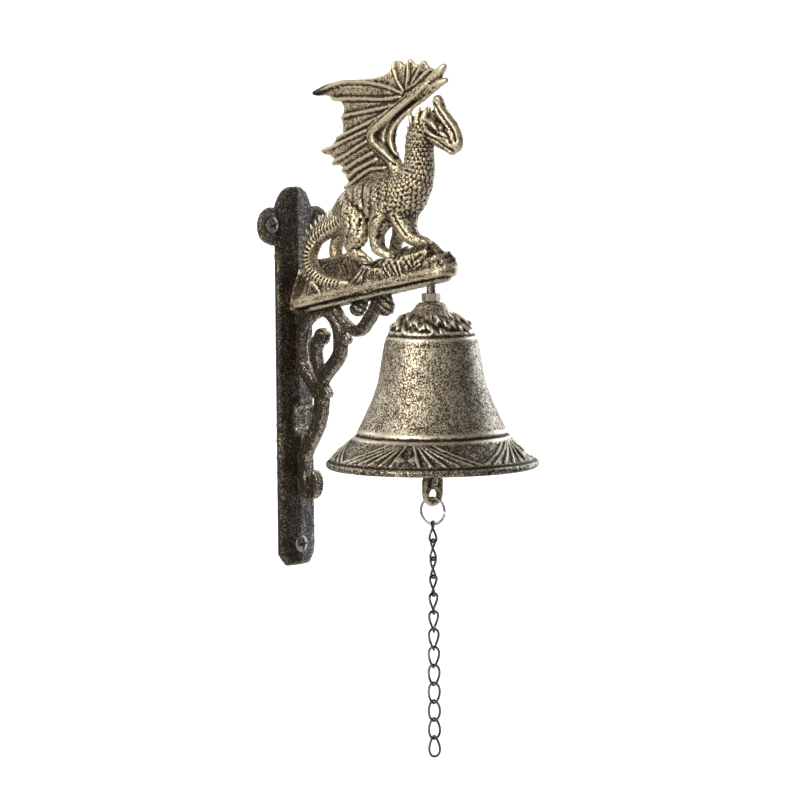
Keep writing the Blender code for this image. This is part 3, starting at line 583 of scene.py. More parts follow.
def scales(clay, low, high, axis_line, size, height):
    """Overlapping pointed scales in rows along a line of (out, up), around the flattened bar."""
    zone, x, out, up = clay.window(low, high)
    line = smooth_path(axis_line, 4)
    along = np.concatenate([[0], np.cumsum(np.hypot(*np.diff(line, axis=0).T))])
    best = np.full((1, out.shape[1], up.shape[2]), 1e3, np.float32)
    run = np.zeros_like(best)
    across = np.zeros_like(best)
    for (p, q, start) in zip(line, line[1:], along):
        d = q - p
        length = math.hypot(*d)
        t = np.clip(((out - p[0]) * d[0] + (up - p[1]) * d[1]) / length ** 2, 0, 1)
        du, dv = out - p[0] - t * d[0], up - p[1] - t * d[1]
        gap = np.hypot(du, dv)
        closer = gap < best
        best = np.where(closer, gap, best)
        run = np.where(closer, start + t * length, run)
        across = np.where(closer, (du * d[1] - dv * d[0]) / length, across)
    around = np.arctan2(across, np.abs(x) + 3.0) * 9.0
    u = run / size
    row = np.floor(u)
    v = around / size * 1.1 + 0.5 * (row % 2)
    fu, fv = u - row, v - np.floor(v) - 0.5
    bump = (0.35 + 0.65 * fu) * np.clip(1.15 - (2.1 * np.abs(fv)) ** 2.2, 0, 1)
    edge = np.clip(best / 3.0, 0, 1)
    clay.field[zone] -= (height * (bump - 0.45) * edge ** 0.3).astype(np.float32)


def claw(clay, x, out, up, drop, length=3.6, radius=1.4):
    clay.bar([(x, out, up, radius), (x, out + 0.5 * length, up - 0.2 * drop, radius * 0.85),
              (x, out + length, up - drop, 0.5)], 0.5)


def dragon_trunk(clay):
    clay.spine([(42, 100, 7.0), (49, 103.5, 10.5), (58, 106.5, 12.0), (70, 107.5, 13.0), (80, 107.5, 14.6),
                (90, 110.5, 14.4), (97, 117.5, 12.0)], 0, BODY_FLATNESS)
    clay.spine([(94, 114, 12.0), (100.4, 123, 10.6), (102, 132, 9.5), (102.3, 140, 9.1), (103.8, 148, 8.8),
                (107, 152.5, 8.4)], 2.0, BODY_FLATNESS)
    chest = [(74, 104), (88, 110), (99, 120), (101.6, 132), (102, 144), (104, 156)]
    scales(clay, (-15, 74, 88), (15, 118, 158), chest, 2.35, 1.0)


HEAD_GROOVES = [
    (0.85, -1.2, [(116.2, 164.6), (119.2, 160.8), (122.4, 157.2), (125.4, 153.8), (128.3, 150.7),
        (130.3, 147.6), (131.3, 143.5)]),
    (0.7, -1.1, [(113.4, 163.6), (114.8, 159), (117.6, 155.4), (120.6, 153.4)]),
    (0.8, -1.1, [(124.4, 148.6), (127, 145.6), (128.6, 141.6)])]
MOUTH = [
    (0.65, -1.5, [(108.4, 148.2), (114.7, 145.3), (118.2, 143.6), (122.2, 141.4), (125.4, 139.4),
        (129.2, 137.6)]), (0.6, -0.8, [(112, 152.6), (116, 149.4), (121, 146.4), (126.4, 144.6)])]
BROWS_AND_EARS = [
    (0.4, [(4.6, 110, 156, 1.6), (5.6, 116, 153.4, 1.6), (5.6, 119.4, 150.2, 1.1)]),
    (0.6, [(5.6, 112, 149.4, 1.5), (6, 117, 146.8, 1.5), (5, 123, 144.6, 1.1)]),
    (0.8, [(4.6, 109, 155, 2.6), (4.2, 110.6, 159.4, 1.9), (3.6, 111.4, 162.6, 0.8)]),
    (0.8, [(4.8, 104.6, 154, 2.6), (4.8, 105.6, 159, 1.8), (4.4, 106.4, 162.6, 0.7)]),
    (0.8, [(4.4, 101, 152, 2.4), (5, 100, 156.6, 1.7), (4.6, 99, 160.2, 0.7)]),
    (0.6, [(5.4, 109.4, 147.4, 2.2), (6.2, 106.4, 146.6, 1.5), (6.4, 103.6, 147.6, 0.6)])]


def dragon_head(clay):
    """Skull, lower jaw and horn in the middle plane, then eyes, nostrils, brows and ears."""
    clay.spine([(107, 152.5, 8.0), (114.5, 149.8, 8.0), (121.5, 146, 7.2), (127, 142.4, 5.8),
                (129.6, 140.8, 4.8)], 1.4, 0.74)
    clay.spine([(108.6, 148, 3.8), (112.4, 145, 3.4), (117.6, 142, 3.2), (122.6, 139.8, 3.0),
                (127, 137.8, 3.2)], 0.5, 1.1)
    clay.spine([(116.6, 166.4, 3.6), (118, 162, 3.9), (120.8, 157.8, 4.1), (124.6, 153.8, 4.1),
                (128.2, 150.2, 3.9), (130.4, 146.2, 3.6), (131.3, 142, 3.3), (130.6, 139.6, 3.0)], 0.5, 0.95)
    clay.emboss_all(HEAD_GROOVES)
    for side in (-1, 1):
        clay.ball(side * 6.2, 122.6, 150.4, 2.5, 0.6, 1.0, True)
        clay.ball(side * 5.0, 122.6, 150.6, 1.6, 0.2)
        clay.ball(side * 4.8, 129.6, 142.6, 1.5, 0.5, 1.0, True)
        for blend, points in BROWS_AND_EARS:
            clay.bar([(side * x, *rest) for x, *rest in points], blend)
    clay.emboss_all(MOUTH)


NECK_SPINES = [
    (97.4, 157, 3.4), (94.6, 150.6, 3), (93, 145.4, 2.2), (92.4, 140.2, 2.8), (92, 134.6, 1.8),
    (91.8, 129.4, 1.5)]
FLANK_FOLDS = [
    (0.5, [(63, 120), (65, 113), (66.5, 105), (64, 97)]),
    (0.35, [(70, 121), (72.5, 113), (73, 104), (71, 97)]), (0.5, [(77, 121), (79.5, 113), (80, 104)]),
    (0.3, [(85, 121), (86, 112), (84.6, 102)]), (0.35, [(56, 117), (57.5, 110), (61, 104)]),
    (0.4, [(80, 98), (88, 101), (96, 104)]), (0.45, [(51, 112), (56, 106), (63, 101), (67, 95)])]


def dragon_back_and_flanks(clay):
    for out, up, reach in NECK_SPINES:
        clay.spine([(out + 2.5, up - 3, 2.4), (out - 0.3, up - 0.8, 1.4),
                    (out - reach * 0.5, up + reach * 0.3, 0.6)], 0.6, 0.6)
    clay.emboss([(50.4, 89), (55, 86.2), (60.6, 86.2), (65.4, 88.4)], 0.8, -0.9, NEAR_SIDE)
    for depth, line in FLANK_FOLDS:
        clay.emboss(line, 1.2, -depth)
        clay.emboss([(o + 3.1, u + 0.6) for o, u in line], 1.7, 0.8 * depth)


LEGS = {
    "near hind": (1.2, 0.66, [(-3.5, 52, 104, 9.6), (-6, 56, 98, 10), (-7, 57.4, 93, 9.6),
        (-7.4, 59.6, 88, 8.2), (-7.6, 56.4, 84, 6.6), (-7.6, 55.6, 80, 4.8), (-7.6, 59, 76.6, 3.9),
        (-7.6, 64, 74.2, 3.2), (-7.6, 67.6, 72.8, 2.2)]),
    "far hind": (1.4, 1, [(3.5, 45, 100, 8.2), (6, 40, 93, 6.6), (6.4, 35, 86.5, 4.8), (6.4, 31.4, 81, 4.2),
        (6.4, 30.8, 74, 4), (6.4, 35, 70, 3)]),
    "near fore": (1.2, 1, [(-4, 80, 103, 8.6), (-6.6, 77.6, 96, 7), (-7.4, 75.4, 90, 5.6),
        (-7.6, 75.2, 85, 4.8), (-7.6, 75.8, 80.6, 4.4), (-7.6, 79.4, 77.8, 3.5), (-7.6, 84.6, 76.2, 2.6)]),
    "far fore": (1.4, 1, [(3, 86, 101, 8.6), (5.6, 82.4, 94, 5.6), (6.2, 81.2, 88, 4.6), (6.4, 78.6, 83, 4),
        (6.4, 77, 76, 3.8)]),
    "raised fore": (1.4, 1, [(0.5, 87, 103, 11), (-2, 92, 95, 7.6), (-3, 95.8, 89.2, 5.8),
        (-3, 99.6, 85.8, 4.6), (-3, 105, 84.4, 3.4), (-3, 109, 84.4, 2.6)])}
CLAWS = [
    (-9.6, 65.6, 73, 1.6), (-7.6, 67.6, 72.8, 1.8), (-5.6, 66.6, 73.2, 1.6), (-9.4, 83, 75.6, 1),
    (-7.4, 85, 75.4, 1), (-5.4, 84, 75.6, 1), (-5, 107.6, 84.6, 1.6), (-3, 109.6, 84.6, 1.8),
    (-1, 108.4, 84.8, 1.6)]
LEG_GROOVES = [
    [(50, 106), (48.6, 98), (52, 90), (55, 85)], [(62, 104), (64.6, 96), (63.6, 88)],
    [(57, 100), (58.6, 92), (55, 85.4)], [(79, 99), (74, 94), (72.4, 88), (73.4, 81)],
    [(84, 97), (80.6, 92), (78.4, 86)], [(90, 99), (93.6, 93), (98, 87.4)],
    [(85, 96), (90, 91), (95, 85.6)]]


def dragon_legs(clay):
    for blend, flat, points in LEGS.values():
        clay.bar(points, blend, flat)
    for x, out, up, drop in CLAWS:
        claw(clay, x, out, up, drop)
    for line in LEG_GROOVES:
        clay.emboss(line, 0.9, -0.7, NEAR_SIDE)
    scales(clay, (-15, 40, 80), (15, 70, 106), [(48, 108), (57, 97), (56, 80)], 2.5, 0.75)


def build_dragon_body():
    clay = Clay((-15, 22, 62), (15, 139, 174), 0.5)
    dragon_trunk(clay)
    dragon_head(clay)
    dragon_back_and_flanks(clay)
    dragon_legs(clay)
    clay.roughen(2.6, 0.22, 31)
    clay.roughen(1.4, 0.12, 32)
    place(clay.to_piece("cast_dragon_body"), "dragon_body", gold_iron)


WING_EDGE = [
    (51, 112), (47, 113), (44, 116), (47, 118.5), (46, 121.5), (43, 124), (43.5, 127), (40, 128.5),
    (35.5, 128.5), (36, 132), (33, 134.6), (28, 134.8), (26.5, 137.5), (28, 139.2), (33, 140), (36.5, 143),
    (39, 146), (43, 148), (43.5, 153), (41.8, 156), (43.5, 160), (44.5, 163), (42, 166.3), (36, 166.8),
    (33, 169.6), (29, 170.2), (22, 170), (20, 172), (22, 173.8), (30, 177), (42, 179.3), (59, 179.6),
    (68, 180.2), (75, 181.8), (79, 183.4), (81.4, 186), (82.4, 189.3), (84.5, 190.4), (88.5, 190),
    (91.5, 187.4), (93, 189), (95.5, 191.3), (97.5, 190.6), (100, 187.8), (102.5, 188.2), (105, 190),
    (107.4, 190), (109, 187.4), (112, 185.4), (116, 184.6), (119.4, 181), (117, 173.4), (106, 166.4),
    (99, 162.6), (92, 157.6), (87.6, 153.5), (85.4, 149), (84.2, 143), (84.2, 138), (85.8, 134),
    (88.6, 129.4), (91, 125), (91, 118), (76, 116), (60, 114)]
WING_RIBS = [
    [(90, 171), (79, 175), (59, 178), (42, 177.6), (23, 172.4)],
    [(89, 169), (75, 167.6), (55, 168.2), (34, 167.8)], [(84, 164), (69, 161.5), (56, 159.6), (43, 157.6)],
    [(74, 158), (66, 154.6), (54, 150), (38.5, 145)], [(62, 149), (48, 144.4), (38, 140.4), (28, 137.2)],
    [(63, 143), (52, 137.6), (44, 133.6), (35, 130.4)], [(67, 136), (55, 131), (48, 127.4), (43, 126)],
    [(70, 132), (56, 126.4), (50, 123), (46, 121)], [(76, 127), (65, 126), (54, 120), (46, 115)]]
FAN_RIBS = [
    [(91, 173), (86, 180), (82.6, 188)], [(94, 174), (95, 182), (94.8, 190)],
    [(96, 174.5), (101, 181), (105.5, 189)], [(99, 175.5), (106, 181), (112, 185.4)]]
WING_BONES = [
    (0.8, 0.95, [(86, 122, 4.8), (82.6, 130.6, 4.4), (76, 137.2, 4.5), (69, 141.6, 4.5), (66.8, 147.4, 4.4),
        (73, 153.4, 4.4), (84, 160.4, 4.3), (97, 168.4, 4), (109, 176.4, 3.5), (119.6, 184.8, 2.7)]),
    (0.8, 1, [(103, 170.6, 3.4), (112, 174.6, 2.9), (118.6, 177.2, 2.5), (122.4, 178.2, 1.8)]),
    (0.6, 1, [(112, 178.6, 2.6), (118, 184, 2.5), (121.4, 186.4, 1.8)]),
    (0.6, 0.9, [(86.4, 125, 4), (83.6, 134, 3), (81.4, 141, 2.8), (81.8, 147.4, 2.8), (85.4, 153.4, 2.4),
        (94.6, 161, 2)])]
BONE_GROOVES = [
    (0.85, -1.2, [(99.8, 166), (87.2, 158), (79.9, 151.2), (77.2, 144.6), (79.4, 139.4), (86, 133)]),
    (0.85, -1.2, [(92.4, 157.6), (85.2, 150.6), (83.2, 143.8), (85, 137.6)]),
    (0.8, -0.7, [(86, 129), (75, 135.4), (66, 141.6), (63.4, 147.4), (70, 153), (82, 161), (95, 169.4)]),
    (1.3, 0.7, [(84, 132), (75.4, 138), (69.6, 143), (69.4, 147.6), (75, 153), (86, 160), (99, 168),
        (110, 176)])]
WING_TIPS = [(20.5, 171.8), (27, 137.2), (44.6, 115.4), (35.4, 129.6), (43, 125.4)]


def build_wings():
    clay = Clay((-9, 17, 108), (9, 130, 194), 0.5)
    _, x, out, up = clay.everywhere()
    edge = outline_distance(out, up, WING_EDGE)
    thick = 1.35 + 0.5 * np.clip(-edge / 9, 0, 1)
    for line in WING_RIBS + FAN_RIBS:
        near = line_distance(out, up, smooth_path(line, 3))
        thick = thick + 0.85 * np.exp(-(near / 0.85) ** 2) - 0.3 * np.exp(-((near - 2.1) / 0.9) ** 2)
    for line in WING_RIBS:
        near = line_distance(out, up, smooth_path([(o + 0.6, u - 2.7) for o, u in line[:-1]], 3))
        thick = thick + 0.28 * np.exp(-(near / 0.7) ** 2)
    sheet = -blend_min(-edge, -(np.abs(x) - thick), 0.9)
    clay.merge(sheet)
    for blend, flat, points in WING_BONES:
        clay.spine(points, blend, flat)
    clay.emboss_all(BONE_GROOVES)
    for out0, up0 in WING_TIPS:
        clay.ball(0, out0, up0, 1.5, 0.8)
    clay.roughen(2.6, 0.13, 41)
    clay.roughen(1.4, 0.08, 42)
    wings = clay.to_piece("cast_dragon_wings")
    # painted shade: the wing's far tip, around out 18 and up 171, is left darker
    paint_shade(wings, lambda out, up: np.exp(-((out - 18) ** 2 + (up - 171) ** 2) / 11 ** 2))
    place(wings, "dragon_wings", gold_iron)


TAIL_PATH = [
    (0, 45, 99, 7.6), (0, 36.5, 93, 6.2), (-0.5, 28, 89, 5.9), (-1, 21.6, 84.6, 5.6), (-2.5, 19, 78.6, 5.4),
    (-5.5, 19.8, 72.4, 5.4), (-8, 24, 66.6, 5.3), (-9.6, 31, 62, 5), (-10.4, 39, 59.2, 4.1),
    (-10.6, 47, 58.4, 2.9), (-10.4, 54, 58.6, 1.5)]


def build_tail():
    clay = Clay((-17, 8, 52), (9, 74, 112), 0.45)
    clay.bar(TAIL_PATH, 0, 0.9)
    path = smooth_path(TAIL_PATH, 8)
    along = np.concatenate([[0], np.cumsum(np.linalg.norm(np.diff(path[:, 1:3], axis=0), axis=1))])
    places = np.arange(4, along[-1] - 4, 2.6)
    spots = np.stack([np.interp(places, along, path[:, k]) for k in range(4)], 1)
    heading = np.gradient(spots[:, 1:3], axis=0)
    heading /= np.linalg.norm(heading, axis=1)[:, None]
    outward = np.stack([heading[:, 1], -heading[:, 0]], 1)
    for (x, out, up, radius), (a, b), (o, u) in zip(spots, heading, outward):
        lean = 0.8 * radius
        groove = [(out + rise * radius * o - back * lean * a, up + rise * radius * u - back * lean * b)
                  for rise, back in ((-0.35, 0), (0.5, 0.4), (1.15, 1))]
        clay.emboss(groove, 0.6, -0.85, 0, 2)
        base = (out + 0.7 * radius * o, up + 0.7 * radius * u)
        reach = 1.3 + 0.4 * radius
        tip = (out + (radius + reach) * o - 2.6 * a, up + (radius + reach) * u - 2.6 * b)
        clay.bar([(x, *base, 1.5), (x, *tip, 0.55)], 0.4, 0.9, 1)
    clay.emboss(spots[::2, 1:3] + 0.05 * spots[::2, 3:] * outward[::2], 0.8, 0.4)
    clay.roughen(2.4, 0.1, 51)
    place(clay.to_piece("cast_dragon_tail"), "dragon_tail", gold_iron)


# ---- bell
BELL_SIDE = [
    (3.3, 48.4), (5.6, 48.4), (7.4, 48), (8.8, 46.8), (10.2, 44.7), (12.4, 42.6), (14.3, 41.7),
    (16.2, 40.6), (18.2, 39.4), (20.1, 37.9), (21.7, 36.2), (23.1, 34.3), (24.3, 32.4), (25.3, 30.5),
    (26.2, 28.7), (27, 26.6), (28.1, 22.9), (29.2, 17), (30.2, 11), (31.1, 5.6), (32.3, 0), (34, -5),
    (36.2, -10.8), (39, -16.6), (41.8, -22.6), (43.6, -26.2), (44.7, -28.2), (45.6, -29.8), (46.9, -31.4),
    (48.6, -33.2), (50.6, -35.1), (52.8, -37.1), (55.1, -39.1), (57.6, -41.2), (60, -43.2), (61.8, -44.8),
    (63.1, -46.3), (62.9, -48), (61.6, -49.1), (59.8, -48.6)]
BELL_INSIDE = [
    (55, -43.6), (49.6, -38.8), (44, -33.2), (39.8, -26.6), (34.8, -17), (31.2, -9), (28.2, 0), (26.2, 10),
    (24, 21), (21.6, 27.6), (17.6, 34.4), (12, 37.6), (6, 38.4), (3.3, 38.4), (3.3, 43)]


SKIRT_RIBS = [(2.0, 8.0), (3.5, 15.0), (5.0, 22.5), (7.0, 30.0), (9.5, 38.0), (16.0, 44.0)]


def wave(value, width):
    return np.exp(-(value / width) ** 2)


def bell_relief(theta, radius, z):
    """Height of the cast decoration: shoulder leaves, rings and fans of ribs on the skirt."""
    shoulder = np.clip((z - 30.8) / 1.5, 0, 1) * np.clip((42.6 - z) / 1.5, 0, 1)
    height = 0
    for count, slant, shift in ((18, 0.06, 0.0), (17, -0.06, 0.37), (31, 0.03, 0.11)):
        turn = theta * count / math.tau + slant * (z - 36) + shift
        across = (turn - np.floor(turn) - 0.5) * 2
        height = height + wave(across, 0.34) * (0.5 + 0.5 * np.sin(7 * theta + 0.9 * z + 5 * shift))
    height = shoulder * (1.05 * height - 0.65)
    height = height + 0.4 * wave(z - 31.4, 0.8) * (0.7 + 0.3 * np.cos(theta * 47))
    height = height - 0.35 * wave(z - 29.4, 0.8) + 0.25 * wave(z - 27.5, 0.8)
    height = height + 0.15 * wave(z + 27.0, 0.9) - 0.6 * wave(z + 29.2, 0.8) + 0.2 * wave(z + 31.2, 0.7)
    share = np.clip((-32.0 - z) / 11.0, 0, 1)
    skirt = np.clip((-31.8 - z) / 1.0, 0, 1) * np.clip((z + 43.6) / 0.8, 0, 1)
    side = np.abs((theta / math.tau * 4 + 0.5) % 1 - 0.5) * 90
    ribs = 0
    for k, (start, end) in enumerate(SKIRT_RIBS):
        line = start + (end - start) * share ** (0.75 + 0.05 * k)
        ribs = ribs + wave(side - line, 0.75) - 0.45 * wave(side - line - 1.9, 0.8)
    lozenge = np.clip(1 - np.abs(side - 4.5) / 4.2 - np.abs(share - 0.72) / 0.26, 0, 1)
    height = height + skirt * (0.8 * ribs + 0.9 * lozenge ** 0.6)
    return height - 0.45 * wave(z + 44.4, 0.5)


def turned_piece(name, side, inside, around, steps, relief=None, spin=0.0):
    """A turned shell: smooth outer and inner sides, with relief on the outer one."""
    outer = smooth_path(side, steps)
    inner = smooth_path([side[-1]] + inside + [side[0]], 2)[1:-1]
    profile = np.vstack([outer, inner])
    count, rows = len(profile), len(outer)
    tangent = np.roll(profile, -1, 0) - np.roll(profile, 1, 0)
    tangent /= np.linalg.norm(tangent, axis=1)[:, None]
    normal = np.stack([-tangent[:, 1], tangent[:, 0]], 1)
    theta = np.linspace(0, math.tau, around, endpoint=False)[None, :]
    height = np.zeros((count, around))
    if relief is not None:
        height[:rows] = relief(theta + spin, outer[:, :1], outer[:, 1:])
        height[:6] = 0
    blurred = height.copy()
    for shift in range(1, 4):
        blurred += np.roll(height, shift, 1) + np.roll(height, -shift, 1)
    blurred /= 7
    padded = np.pad(blurred, ((5, 5), (0, 0)), mode="edge")
    blurred = sum(padded[k:k + count] for k in range(11)) / 11
    radius = profile[:, :1] + normal[:, :1] * height
    z = profile[:, 1:] + normal[:, 1:] * height
    verts = np.stack([radius * np.sin(theta), -radius * np.cos(theta), z + 0 * theta], 2).reshape(-1, 3) * MM
    i, j = np.meshgrid(np.arange(count), np.arange(around), indexing="ij")
    i2, j2 = (i + 1) % count, (j + 1) % around
    faces = np.stack([i * around + j, i2 * around + j, i2 * around + j2, i * around + j2], 2).reshape(-1, 4)
    return new_piece(name, verts, faces, ((height - blurred) * 0.7).ravel())


def build_bell():
    bell = turned_piece("cast_bell", BELL_SIDE, BELL_INSIDE, 512, 4, bell_relief, math.radians(50 + 16))
    bell.location = (0, -BELL_OUT * MM, 0)
    # painted shade: the skirt below the shoulder band is darker, and the shoulder and crown a little darker
    paint_shade(bell, lambda out, up: 0.09 * np.clip((-31 - up) / 2, 0, 1) + 0.03 * np.clip((up - 31) / 2, 0, 1))
    place(bell, "bell", bell_iron)


# ---- fasteners
def small_clay(half, low, high, cell):
    clay = Clay((-half, -half, low), (half, half, high), cell)
    _, x, out, up = clay.everywhere()
    return clay, x, out, up


def rounded_max(fields, k):
    result = fields[0]
    for field in fields[1:]:
        result = -blend_min(-result, -field, k)
    return result


NUT_HALF, NUT_BORE = 5.0, 3.15       # half the width across flats, and the bore's radius
TOP_NUT, INNER_NUT = (48.75, 53.7), (31.3, 36.3)
WASHER_MIDDLE, WASHER_RADIUS, WASHER_HALF = 37.35, 8, 0.75
ROD_MIDDLE, ROD_HALF, ROD_CORE = 46.2, 19.8, 2.45
THREAD_DEPTH = 0.5
EYE_UP, EYE_RADIUS, EYE_WIRE = 22.5, 4.2, 1.5
SCREW_HEAD, SCREW_PITCH = 5.2, 1.7


def hex_nut(name, low, high, turn):
    clay, x, out, up = small_clay(7, low - 1, high + 1, 0.16)
    flats = [abs(x * math.cos(turn + k * math.pi / 3) + out * math.sin(turn + k * math.pi / 3)) - NUT_HALF
             for k in range(3)]
    radius = np.hypot(x, out)
    middle = (low + high) / 2
    chamfer = (radius - 5.7) * 0.5 + (abs(up - middle) - (high - low) / 2 + 0.35) * 0.87
    bore = NUT_BORE + 0.25 * np.clip(abs(up - middle) - 2.1, 0, 1) - radius
    body = rounded_max(flats + [abs(up - middle) - (high - low) / 2, chamfer], 0.3)
    clay.merge(np.maximum(body, bore))
    piece = clay.to_piece(name)
    piece.location = (0, -BELL_OUT * MM, 0)
    return piece


def build_hardware():
    nut = hex_nut("hex_nut_top", *TOP_NUT, math.radians(20))
    place(nut, "top_nut", nut_plating)
    low_nut = hex_nut("hex_nut_inner", *INNER_NUT, math.radians(35))
    place(low_nut, "inner_nut", screw_steel)
    clay, x, out, up = small_clay(9, 35.8, 38.8, 0.2)
    radius = np.hypot(x, out)
    thickness = abs(up - WASHER_MIDDLE) - WASHER_HALF
    clay.merge(rounded_max([radius - WASHER_RADIUS, 3.2 - radius, thickness], 0.35))
    washer = clay.to_piece("flat_washer")
    washer.location = (0, -BELL_OUT * MM, 0)
    place(washer, "inner_washer", screw_steel)

    clay, x, out, up = small_clay(7, 15.5, 68, 0.2)
    radius, angle = np.hypot(x, out), np.arctan2(out, x)
    pitch = up + angle / math.tau
    thread = np.abs(pitch - np.floor(pitch) - 0.5) * 2
    shaft = np.maximum((radius - ROD_CORE - THREAD_DEPTH * thread) * 0.75, abs(up - ROD_MIDDLE) - ROD_HALF)
    clay.merge(shaft)
    ring = np.hypot(np.hypot(x, up - EYE_UP) - EYE_RADIUS, out) - EYE_WIRE
    clay.merge(ring, 0.8)
    rod = clay.to_piece("threaded_hanger")
    rod.location = (0, -BELL_OUT * MM, 0)
    place(rod, "hanger_rod", rod_steel)

    for side, turn in (("left", 0.35), ("right", 0.9), ("bottom", 0.1)):
        x0, surface, z0 = SCREWS[side]
        clay = Clay((-6, -surface, -6), (6, 3.4, 6), 0.18)
        _, x, out, up = clay.everywhere()
        radius, angle = np.hypot(x, up), np.arctan2(up, x)
        dome = np.hypot(radius, out + 6.6) - 8.7
        cone = (radius - SCREW_HEAD - 1.1 * np.minimum(out + 0.2, 0)) * 0.7
        head = rounded_max([dome, cone, -out - 2.7], 0.3)
        pitch = out / SCREW_PITCH + angle / math.tau
        ridge = np.clip(1 - 3.2 * np.abs(pitch - np.floor(pitch) - 0.5), 0, 1)
        shank = np.maximum(radius - 1.7 - 0.45 * ridge, np.maximum(out, 0.3 - surface - out))
        clay.merge(head)
        clay.merge(shank * 0.8, 0.4)
        c, s = math.cos(turn), math.sin(turn)
        a, b = abs(x * c + up * s), abs(up * c - x * s)
        depth = 0.6 - out
        cross = np.minimum(np.maximum(a - 3.0 + depth, b - 0.8), np.maximum(b - 3.0 + depth, a - 0.8))
        clay.carve(np.maximum(cross, -out - 1.0))
        screw = clay.to_piece("cross_head_screw_" + side)
        screw.location = (x0 * MM, -surface * MM, z0 * MM)
        place(screw, "wall_screw_" + side, screw_steel)


# ---- clapper, ring and chain
def swept(name, centres, radius, sides=12, cyclic=True):
    """A wire along points in millimetres, closed on itself or with domed ends."""
    p = np.array(centres, float)
    count = len(p)
    ahead = np.roll(p, -1, 0) - np.roll(p, 1, 0)
    if not cyclic:
        ahead[0], ahead[-1] = p[1] - p[0], p[-1] - p[-2]
    ahead /= np.linalg.norm(ahead, axis=1)[:, None]
    middle = p.mean(0)
    outward = p - middle
    outward -= (outward * ahead).sum(1)[:, None] * ahead
    outward /= np.linalg.norm(outward, axis=1)[:, None]
    other = np.cross(ahead, outward)
    radii = np.full(count, radius)
    if not cyclic:
        radii[0] = radii[-1] = radius * 0.55
        radii[1] = radii[-2] = radius * 0.92
    angle = np.linspace(0, math.tau, sides, endpoint=False)
    rings = (p[:, None] + radii[:, None, None] * (outward[:, None] * np.cos(angle)[None, :, None]
             + other[:, None] * np.sin(angle)[None, :, None]))
    verts = rings.reshape(-1, 3) * MM
    faces = []
    for i in range(count if cyclic else count - 1):
        for j in range(sides):
            a, b = i * sides, (i + 1) % count * sides
            faces.append((a + j, b + j, b + (j + 1) % sides, a + (j + 1) % sides))
    if not cyclic:
        faces.append(tuple(range(sides)))
        faces.append(tuple(range(count * sides - 1, (count - 1) * sides - 1, -1)))
    return new_piece(name, verts, faces)


RING_TURN, LUG_TURN = math.radians(12), math.radians(77)
CHAIN_STEP = math.radians(-11)


def build_clapper():
    low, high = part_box("clapper_link")
    middle, height = (low.z + high.z) / 2 / MM, (high.z - low.z) / MM - 2.4
    points = []
    for a in np.linspace(0, math.tau, 48, endpoint=False):
        c, s = math.cos(a), math.sin(a)
        points.append((0, -BELL_OUT + 4.2 * math.copysign(abs(c) ** 0.83, c),
                       middle + height / 2 * math.copysign(abs(s) ** 0.83, s)))
    link = swept("clapper_wire_link", points, 1.2)
    place(link, "clapper_link", wire_steel, "clapper_link")

    low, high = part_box("clapper")
    top, bottom = high.z / MM, low.z / MM
    clay = Clay((-13, BELL_OUT - 13, bottom - 1), (13, BELL_OUT + 13, top + 1), 0.42)
    _, x, out, up = clay.everywhere()
    out = out - BELL_OUT
    eye_z = top - EYE_RADIUS - EYE_WIRE
    eye = np.hypot(np.hypot(x, up - eye_z) - EYE_RADIUS, out) - 1.25
    clay.merge(eye)
    ball_z = -33.0
    shank = np.maximum(np.hypot(x, out) - np.interp(up, [-60, -45, -20, 2], [3.2, 3.7, 2.5, 2.1]),
                       np.maximum(up - eye_z + EYE_RADIUS, -60 - up))
    clay.merge(shank, 0.8)
    clay.merge(np.sqrt(x ** 2 + out ** 2 + (up - ball_z) ** 2) - 11.4, 2.0)
    clay.merge(np.maximum(abs(up + 47.0) - 1.0, np.hypot(x, out) - 4.9) * 0.8, 0.8)
    level = x * math.sin(LUG_TURN) + out * math.cos(LUG_TURN)
    side = x * math.cos(LUG_TURN) - out * math.sin(LUG_TURN)
    lug_z = bottom + 7.3
    clay.merge(np.hypot(np.hypot(level, up - lug_z) - 5.1, side) - 2.05)
    reach = np.clip((lug_z + 16 - up) / 8, 0, 1)
    tang = rounded_max([np.abs(level) - 3.6 - 3.3 * reach, np.abs(side) - 2.0, up - lug_z - 16, lug_z - up,
                        3.4 - np.hypot(level, up - lug_z)], 1.0)
    clay.merge(tang, 0.6)
    clay.roughen(3.4, 0.1, 61)
    clay.roughen(1.6, 0.06, 62)
    place(clay.to_piece("cast_clapper"), "clapper", gold_iron, "clapper")


def build_ring_and_chain():
    low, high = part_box("pull_ring")
    centre_z = (low.z + high.z) / 2 / MM
    radius = (high.z - low.z) / 2 / MM - 0.8
    points = []
    for a in np.radians(np.linspace(2, 358, 90)):
        turned = a - math.radians(8)
        level = radius * math.cos(turned)
        points.append((level * math.sin(RING_TURN), -BELL_OUT - level * math.cos(RING_TURN),
                       centre_z + radius * math.sin(turned)))
    ring = swept("wire_pull_ring", points, 0.84, cyclic=False)
    place(ring, "pull_ring", ring_steel, "pull_ring")
    number = 0
    for node in sorted(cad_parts):
        if not node.startswith("chain_link_"):
            continue
        number += 1
        low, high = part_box(node)
        height = (high.z - low.z) / MM - 1.5
        middle = (high.z + low.z) / 2 / MM
        turn = RING_TURN + CHAIN_STEP * (number - 1)
        points = []
        for a in np.linspace(0, math.tau, 56, endpoint=False):
            c, s = math.cos(a), math.sin(a)
            across = 3.3 * math.copysign(abs(c) ** 0.8, c)
            rise = height / 2 * math.copysign(abs(s) ** 0.8, s)
            angle = turn - math.radians(90) * (0.5 + rise / height)
            points.append((across * math.sin(angle), -BELL_OUT - across * math.cos(angle), middle + rise))
        place(swept("twisted_" + node, points, 0.76, 10), node, wire_steel, node)


